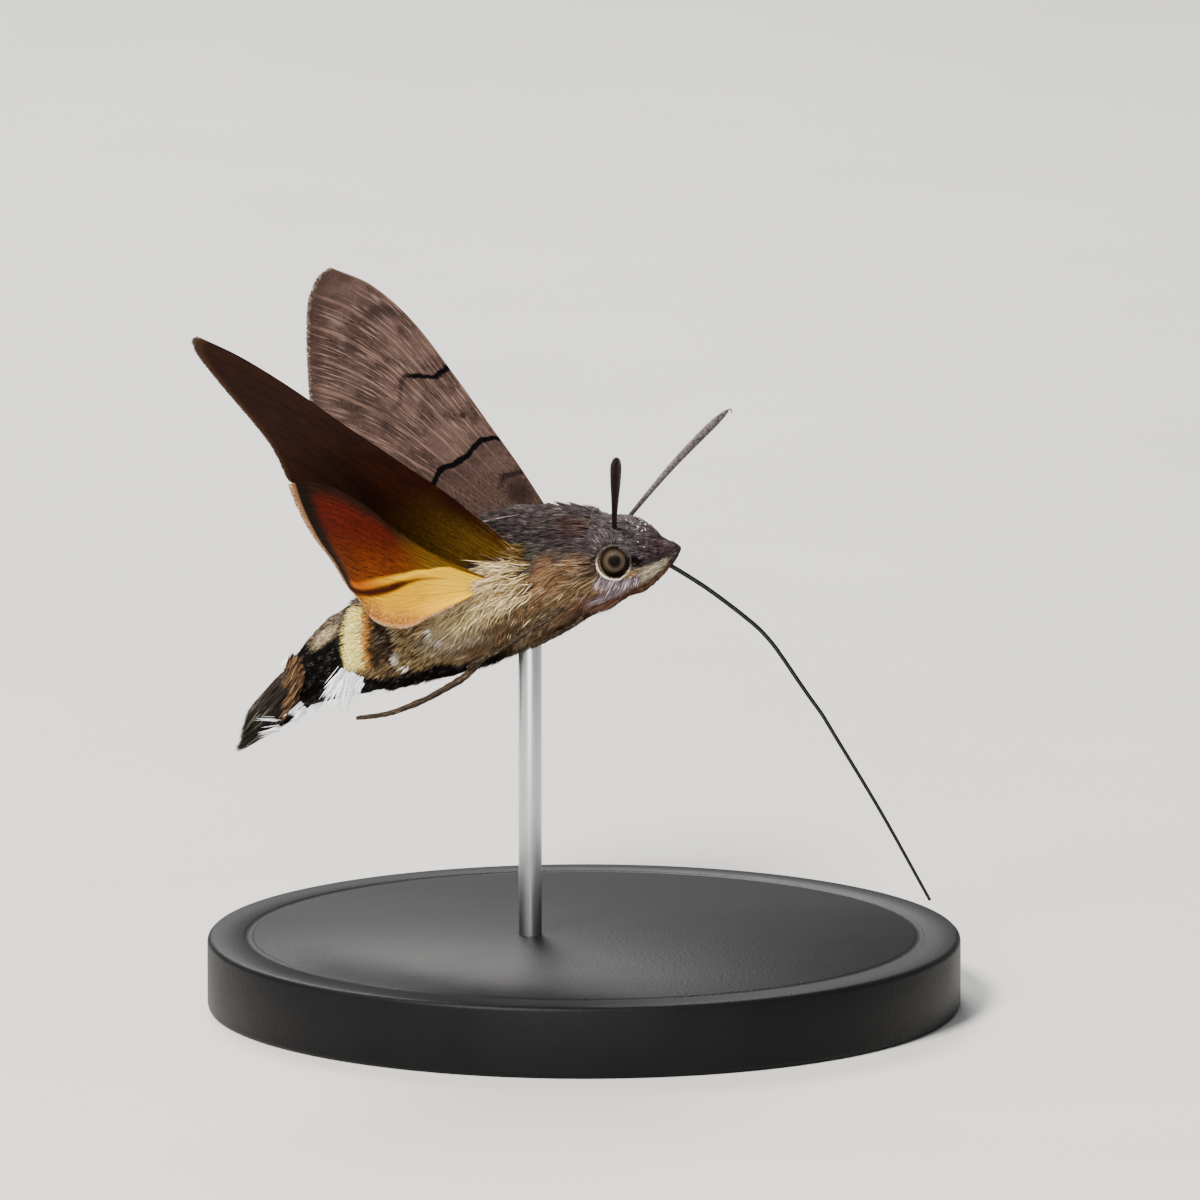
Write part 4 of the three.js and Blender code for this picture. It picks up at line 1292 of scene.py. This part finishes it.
def eye_material():
    """A dark round spot in a beige ring, inside an olive to black surround."""
    paint = Paint("compound eye", Roughness=0.5, Specular_IOR_Level=0.04, Coat_Weight=0.015,
                  Coat_Roughness=0.1)
    angle, low_front = paint.map("Look")
    place = paint.place()
    cells = paint.node("ShaderNodeTexVoronoi", {}, place, 14000)
    wobble = (paint.noise(place, 2500, 2) - 0.5) * 0.07
    rings = paint.table(angle + wobble, EYE_RINGS)
    dusk = paint.step(low_front, 0.45, 0.9) * paint.step(angle, 0.36, 0.55)
    paint.set(Base_Color=paint.mix(dusk * 0.9, rings, "050302"))
    paint.bump(cells, 0.01, 0.5)
    return paint.material


# Antennae, proboscis and legs
def make_antenna(word, material):
    side = SIDES[word]
    root = np.array(ANTENNA_ROOT) * [1, side, 1]
    tip = np.array(ANTENNA_TIP[word])
    middle = (root + tip) / 2 + [0, 0, ANTENNA_RISE]
    hook = tip + [0.3, 0.25 * side, -0.05]
    inward = root - unit(middle - root) * 0.4

    def radius(f):
        """Thickest near its end, with fine rings."""
        club = lerp(0.095, THICK_CLUB[word], smooth((f - 0.05) / 0.75))
        past = np.clip((f - 0.8) / 0.16, 0, 1)
        return club * (1 - past**2)**0.6 * (1 + 0.05 * math.sin(f * 330)) + 0.035

    piece = limb([inward, root, middle, tip, hook], radius, steps=300, sides=18)
    return finish_piece(piece, f"antenna_{word}_shaft", material, [f"antenna_{word}"])


def horn_material():
    """Grey-mauve scales on the side that faces the other antenna, dark red-brown on the outer side."""
    paint = Paint("antenna", Roughness=0.6, Specular_IOR_Level=0.2)
    place = paint.place()
    mottle = paint.noise(place, 6000, 3)
    grey = paint.mix(paint.step(mottle, 0.3, 0.75), "30292b", "685d61")
    dark = paint.mix(mottle, "050202", "200c0a")
    normal = paint.node("ShaderNodeTexCoord", {}, output="Normal")
    inner = paint.step(paint.part_of(normal, "Y") * paint.part_of(place, "Y") * -1000, -0.6, 1.2)
    paint.set(Base_Color=paint.mix(inner, dark, grey))
    paint.bump(mottle, 0.04)
    return paint.material


def make_proboscis(material):
    """A tapering tube with fine rings."""
    def radius(f):
        return lerp(0.135, 0.09, f) + 0.003 * math.sin(f * 900)

    piece = limb([(u, 0.0, w) for u, w in PROBOSCIS_PATH], radius, steps=400, sides=16)
    return finish_piece(piece, "proboscis", material, ["proboscis_base", "proboscis_end"])


def proboscis_material():
    paint = Paint("proboscis", Roughness=0.3, Specular_IOR_Level=0.15, Coat_Weight=0.12, Coat_Roughness=0.12)
    paint.set(Base_Color=paint.mix(paint.noise(paint.place(), 2500, 3), "030303", "0c0b0a"))
    paint.bump(paint.noise(paint.place(), 9000, 2), 0.03)
    return paint.material


def leg_radius(joints, thick, thin):
    """A leg's radius along it: thinner towards its foot, with a swelling at each joint."""
    def radius(f):
        knots = sum(0.035 * math.exp(-((f - at) / 0.02) ** 2) for at in joints)
        return lerp(thick, thin, f) + knots

    return radius


LEG_SCALES = 420
SCALE_LENGTH = 0.045


def make_leg(name, word, points, radius, material, scales, seed):
    """A limb with scales that lie along it."""
    points = np.asarray(points) * [1, SIDES[word], 1]
    piece = limb(points, radius, steps=110, sides=14)
    finish_piece(piece, f"leg_{name}_{word}_limb", material, [f"leg_{name}_{word}"])
    draw = np.random.default_rng(seed)
    share = draw.uniform(0, 0.95, LEG_SCALES)
    turn = draw.uniform(0, 2 * math.pi, LEG_SCALES)
    paths = []
    for f in (0.0, 0.5, 1.0):
        at = np.minimum(share + SCALE_LENGTH * f, 1)
        ahead = unit(even_spline(points, np.minimum(at + 0.01, 1)) - even_spline(points, at - 0.01))
        across, up = cross_section(ahead)
        out = np.cos(turn)[:, None] * across + np.sin(turn)[:, None] * up
        size = np.array([radius(x) for x in at]) - 0.015 + 0.04 * f
        paths.append(even_spline(points, at) + out * size[:, None])
    widths = draw.uniform(0.025, 0.05, LEG_SCALES)
    shade = draw.uniform(0, 1, LEG_SCALES)
    lie = np.stack([share, turn / (2 * math.pi)], axis=-1)
    name = f"leg_{name}_{word}_scales"
    return make_hair(name, np.stack(paths, axis=1), out[:, None], widths, shade, (lie, lie), scales, "leg")


def leg_material():
    paint = Paint("leg", Roughness=0.7, Specular_IOR_Level=0.2)
    mottle = paint.noise(paint.place(), 3500, 4)
    paint.set(Base_Color=paint.mix(mottle, "0c0805", "3c2e1e"))
    paint.bump(mottle, 0.08)
    return paint.material


# Stand: the angle from which an edge is rounded, and stays sharp in the shading
SHARP_DEG = 40


def round_bar(sides, radius, low, high, x=0.0):
    """A cylinder that stands between two heights."""
    deselect()
    middle = (x * MM, 0, (high + low) / 2 * MM)
    bpy.ops.mesh.primitive_cylinder_add(
        vertices=sides, radius=radius * MM, depth=(high - low) * MM, location=middle)
    return bpy.context.object


def round_edges(piece, width):
    sharp = math.radians(SHARP_DEG)
    apply_modifier(piece, "BEVEL", width=width * MM, segments=3, limit_method="ANGLE", angle_limit=sharp)


def make_base(material):
    """A disc with a groove round its top."""
    base = round_bar(160, BASE_RADIUS, low=0.0, high=BASE_HEIGHT)
    bpy.ops.object.mode_set(mode="EDIT")
    bpy.ops.mesh.select_all(action="DESELECT")
    bpy.ops.object.mode_set(mode="OBJECT")
    top = max(base.data.polygons, key=lambda polygon: polygon.center.z)
    top.select = True
    bpy.ops.object.mode_set(mode="EDIT")
    bpy.ops.mesh.inset(thickness=BASE_BORDER * MM)
    bpy.ops.mesh.inset(thickness=GROOVE_WIDTH * MM, depth=-GROOVE_DEPTH * MM)
    bpy.ops.mesh.inset(thickness=GROOVE_WIDTH * MM, depth=GROOVE_DEPTH * MM)
    bpy.ops.object.mode_set(mode="OBJECT")
    round_edges(base, BASE_ROUNDING)
    return finish_piece(base, "stand_disc", material, ["stand_base"], SHARP_DEG)


def make_rod(material):
    rod = round_bar(48, ROD_RADIUS, low=SOCKET_FLOOR, high=ROD_TOP, x=ROD_X)
    round_edges(rod, ROD_ROUNDING)
    return finish_piece(rod, "stand_post", material, ["stand_rod"], SHARP_DEG)


def base_material():
    paint = Paint("satin base", Specular_IOR_Level=0.1)
    mottle = paint.noise(paint.place(), 260, 4)
    paint.set(Base_Color=paint.mix(mottle, "09090a", "121214"), Roughness=0.42 + mottle * 0.12)
    paint.bump(paint.noise(paint.place(), 5000, 2), 0.02)
    return paint.material


def rod_material():
    paint = Paint("brushed rod", Metallic=1.0)
    brush = paint.noise(paint.scaled(paint.place(), (9000, 9000, 300)), 1.0, 2)
    paint.set(Base_Color=paint.mix(brush, "a9abae", "d0d2d4"), Roughness=0.22 + brush * 0.2)
    return paint.material


# Floor, light and camera
def make_stage():
    deselect()
    bpy.ops.mesh.primitive_plane_add(size=6)
    floor = bpy.context.object
    floor.name = "floor"
    paint = Paint("pale floor", Roughness=0.9)
    paint.set(Base_Color=paint.mix(paint.noise(paint.place(), 40, 2), "cbcac6", "d4d3cf"))
    floor.data.materials.append(paint.material)
    world = bpy.data.worlds.new("studio")
    world.use_nodes = True
    sky = world.node_tree.nodes["Background"]
    sky.inputs["Color"].default_value = (0.9, 0.94, 1.0, 1)
    sky.inputs["Strength"].default_value = 0.33
    bpy.context.scene.world = world


def area_light(name, place, target, size, power, tint):
    light = bpy.data.lights.new(name, "AREA")
    light.shape = "DISK"
    light.size = size
    light.energy = power
    light.color = tint
    lamp = bpy.data.objects.new(name, light)
    bpy.context.scene.collection.objects.link(lamp)
    lamp.location = place
    lamp.rotation_euler = (Vector(target) - Vector(place)).to_track_quat("-Z", "Y").to_euler()


def make_lights():
    """A warm key light from the upper left, a soft fill from the front and a rim light from behind."""
    middle = (0.0, 0.0, 0.025)
    area_light("key", (-0.22, -0.34, 0.45), middle, 0.16, 9.0, (1.0, 0.96, 0.9))
    area_light("fill", (-0.05, -0.5, 0.06), middle, 0.3, 1.6, (0.95, 0.97, 1.0))
    area_light("rim", (-0.1, 0.4, 0.4), middle, 0.25, 4.0, (1.0, 0.98, 0.95))


def make_camera():
    """A long lens at the photograph's angle, aimed at the point in the middle of its frame."""
    rise = math.radians(ELEVATION_DEG)
    x = (PIXELS / 2 - ORIGIN_PIXEL[0]) / PIXELS_PER_MM
    z = (ORIGIN_PIXEL[1] - PIXELS / 2) / PIXELS_PER_MM / math.cos(rise)
    target = Vector((x, 0, z)) * MM
    camera = bpy.data.cameras.new("camera")
    camera.sensor_width = SENSOR_MM
    camera.lens = SENSOR_MM * CAMERA_FAR / (PIXELS / PIXELS_PER_MM * MM)
    camera.clip_start = 0.1
    eye = bpy.data.objects.new("camera", camera)
    bpy.context.scene.collection.objects.link(eye)
    eye.location = target + Vector((0, -math.cos(rise), math.sin(rise))) * CAMERA_FAR
    eye.rotation_euler = (target - eye.location).to_track_quat("-Z", "Y").to_euler()
    bpy.context.scene.camera = eye


# Pieces with their materials
def make_coat():
    """The body's coat: each piece has a number of tufts, and the stations and heights that it covers."""
    fur = coat_material("fur")
    band_fur = coat_material("band fur", root_light=0.85)
    body_hair("coat_thorax_low", 11400, (5.2, 9.8), (-90, -20), fur, length=1.4, width=0.058,
              rise=0.45, sway=0.5, clump=0.7, lock=0.4, rings=4, seed=1)
    body_hair("coat_thorax_side", 11800, (5.2, 9.8), (-32, 20), fur, length=1.5, width=0.058,
              rise=0.45, sway=0.5, clump=0.7, lock=0.4, rings=4, seed=2)
    body_hair("coat_thorax_top", 18500, (5.0, 10.0), (8, 90), fur, length=0.85, width=0.06,
              rise=0.36, sway=0.12, clump=0.5, lock=0.28, rings=3, seed=3)
    body_hair("coat_head", 16500, (9.3, 12.3), (-90, 90), fur, length=0.42, width=0.05,
              rise=0.2, sway=0.12, clump=0.4, lock=0.18, rings=3, seed=4)
    body_hair("coat_beak", 5500, (11.8, 13.95), (-90, 90), fur, length=0.3, width=0.045,
              rise=0.1, sway=0.1, clump=0.3, lock=0.15, rings=3, seed=5, slot="dark_fur")
    body_hair("coat_abdomen_front", 17000, (3.7, 5.9), (-90, 90), fur, length=0.7, width=0.06,
              rise=0.28, sway=0.12, clump=0.5, lock=0.26, rings=3, seed=6)
    body_hair("coat_band", 10500, (2.95, 4.05), (-90, 90), band_fur, length=0.42, width=0.038,
              rise=0.05, sway=0.03, clump=0.1, lock=0.1, rings=3, seed=7, slot="pale_band")
    body_hair("coat_abdomen_rear", 14000, (1.0, 3.15), (-90, 90), fur, length=0.5, width=0.06,
              rise=0.16, sway=0.08, clump=0.3, lock=0.25, rings=3, seed=8, slot="black_fur")
    tail_hair("coat_tail", 6800, fur, seed=9)


def make_white_tufts():
    """Side plume and small tufts of the rear segments, with some light of their own against the shade."""
    white = coat_material("white tufts", between("a8aebc", "ffffff"), root_light=0.5,
                          Emission_Color="ffffff", Emission_Strength=0.8)
    slot = "pale_band"
    plume = (in_photo(PLUME_ROOTS), in_photo(PLUME_TIPS), white, slot)
    fan("tuft_white_side", 44, *plume, width=0.16, bow=0.2, scatter=0.18, seed=31)
    fan("tuft_white_strands", 40, *plume, width=0.07, bow=0.26, scatter=0.24, seed=41)
    fan("tuft_white_rear", 26, in_photo(REAR_ROOTS), in_photo(REAR_TIPS), white, slot,
        width=0.11, bow=0.12, scatter=0.12, seed=32)
    fan("tuft_white_tail", 8, in_photo(TAIL_ROOTS), in_photo(TAIL_TIPS), white, slot,
        width=0.04, bow=0.08, scatter=0.17, seed=33)
    fan("tuft_white_tip", 12, in_photo(LAST_ROOTS), in_photo(LAST_TIPS), white, slot,
        width=0.055, bow=0.08, scatter=0.14, seed=37)
    fan("tuft_white_back", 18, over_skin(BACK_ROOTS), over_skin(BACK_TIPS), white, slot,
        width=0.075, bow=0.1, scatter=0.08, seed=40)


def make_coloured_tufts():
    """The brown row by the tail, and hair at the wing roots, the cheeks and the eyes' rims."""
    brown = coat_material("brown row", between("0c0805", "8a6848"), root_light=0.5)
    cream = coat_material("cream hair", between("8c6c38", "f4deae"), root_light=0.5)
    lilac = coat_material("cheek hair", between("4a3a3e", "d8c4ce"), root_light=0.5)
    olive = coat_material("wing base hair", between("241a0e", "94743c"))
    rim = coat_material("eye rim", between("2c211c", "f4ecdc"), root_light=0.8)
    fan("tuft_brown_row", 230, in_photo(BROWN_ROOTS), in_photo(BROWN_TIPS), brown, "body_fur",
        width=0.08, bow=0.12, scatter=0.13, seed=34)
    fan("tuft_wing_edge", 30, in_photo(WING_EDGE_ROOTS), in_photo(WING_EDGE_TIPS), lilac, "body_fur",
        width=0.02, bow=0.05, scatter=0.04, seed=38)
    fan("tuft_cheek", 300, over_skin(CHEEK_ROOTS), over_skin(CHEEK_TIPS), lilac, "body_fur",
        width=0.04, bow=0.05, scatter=0.12, seed=39)
    fan("tuft_wing_base", 70, in_photo(WING_BASE_ROOTS), in_photo(WING_BASE_TIPS), olive, "body_fur",
        width=0.035, bow=0.15, scatter=0.26, seed=43)
    wing_root_hair("tuft_wing_root", 3000, cream, seed=35)
    eye_rim("tuft_eye_rim", 460, rim, seed=36)


def make_wings():
    """Four sheets, each with its fringe."""
    fore_scales = forewing_material()
    hind_scales = hindwing_material()
    brown_fringe = coat_material("brown fringe", between("3c2e29", "5e4c44"), root_light=1.0)
    pale_fringe = coat_material("pale fringe", between("8a6444", "d0a880"), root_light=0.95)
    for word in SIDES:
        make_wing(word, "forewing", forewing_places, fore_scales)
        make_wing(word, "hindwing", hindwing_places, hind_scales)
        make_fringe(word, "forewing", forewing_places, brown_fringe, seed=21)
        make_fringe(word, "hindwing", hindwing_places, pale_fringe, seed=22)


def make_limbs():
    """Eyes, antennae, legs and proboscis."""
    eye_gloss = eye_material()
    horn = horn_material()
    shell = leg_material()
    scales = coat_material("leg scales", between("160f09", "5c4a38"), root_light=0.7)
    folded_radius = leg_radius(joints=(0.55, 0.8), thick=0.14, thin=0.09)
    hind_radius = leg_radius(joints=(0.3, 0.62), thick=0.22, thin=0.11)
    for word in SIDES:
        make_eye(word, eye_gloss)
        make_antenna(word, horn)
        for number, (name, path) in enumerate(FOLDED_LEGS.items()):
            points = [body_point(station, angle, lift) for station, angle, lift in path]
            make_leg(name, word, points, folded_radius, shell, scales, seed=40 + number)
        make_leg("hind", word, HIND_LEG[word], hind_radius, shell, scales, seed=42)
    make_proboscis(proboscis_material())


# Everything together
make_camera()
make_stage()
make_lights()
make_skin(skin_material())
make_coat()
make_white_tufts()
make_coloured_tufts()
make_wings()
make_limbs()
make_base(base_material())
make_rod(rod_material())
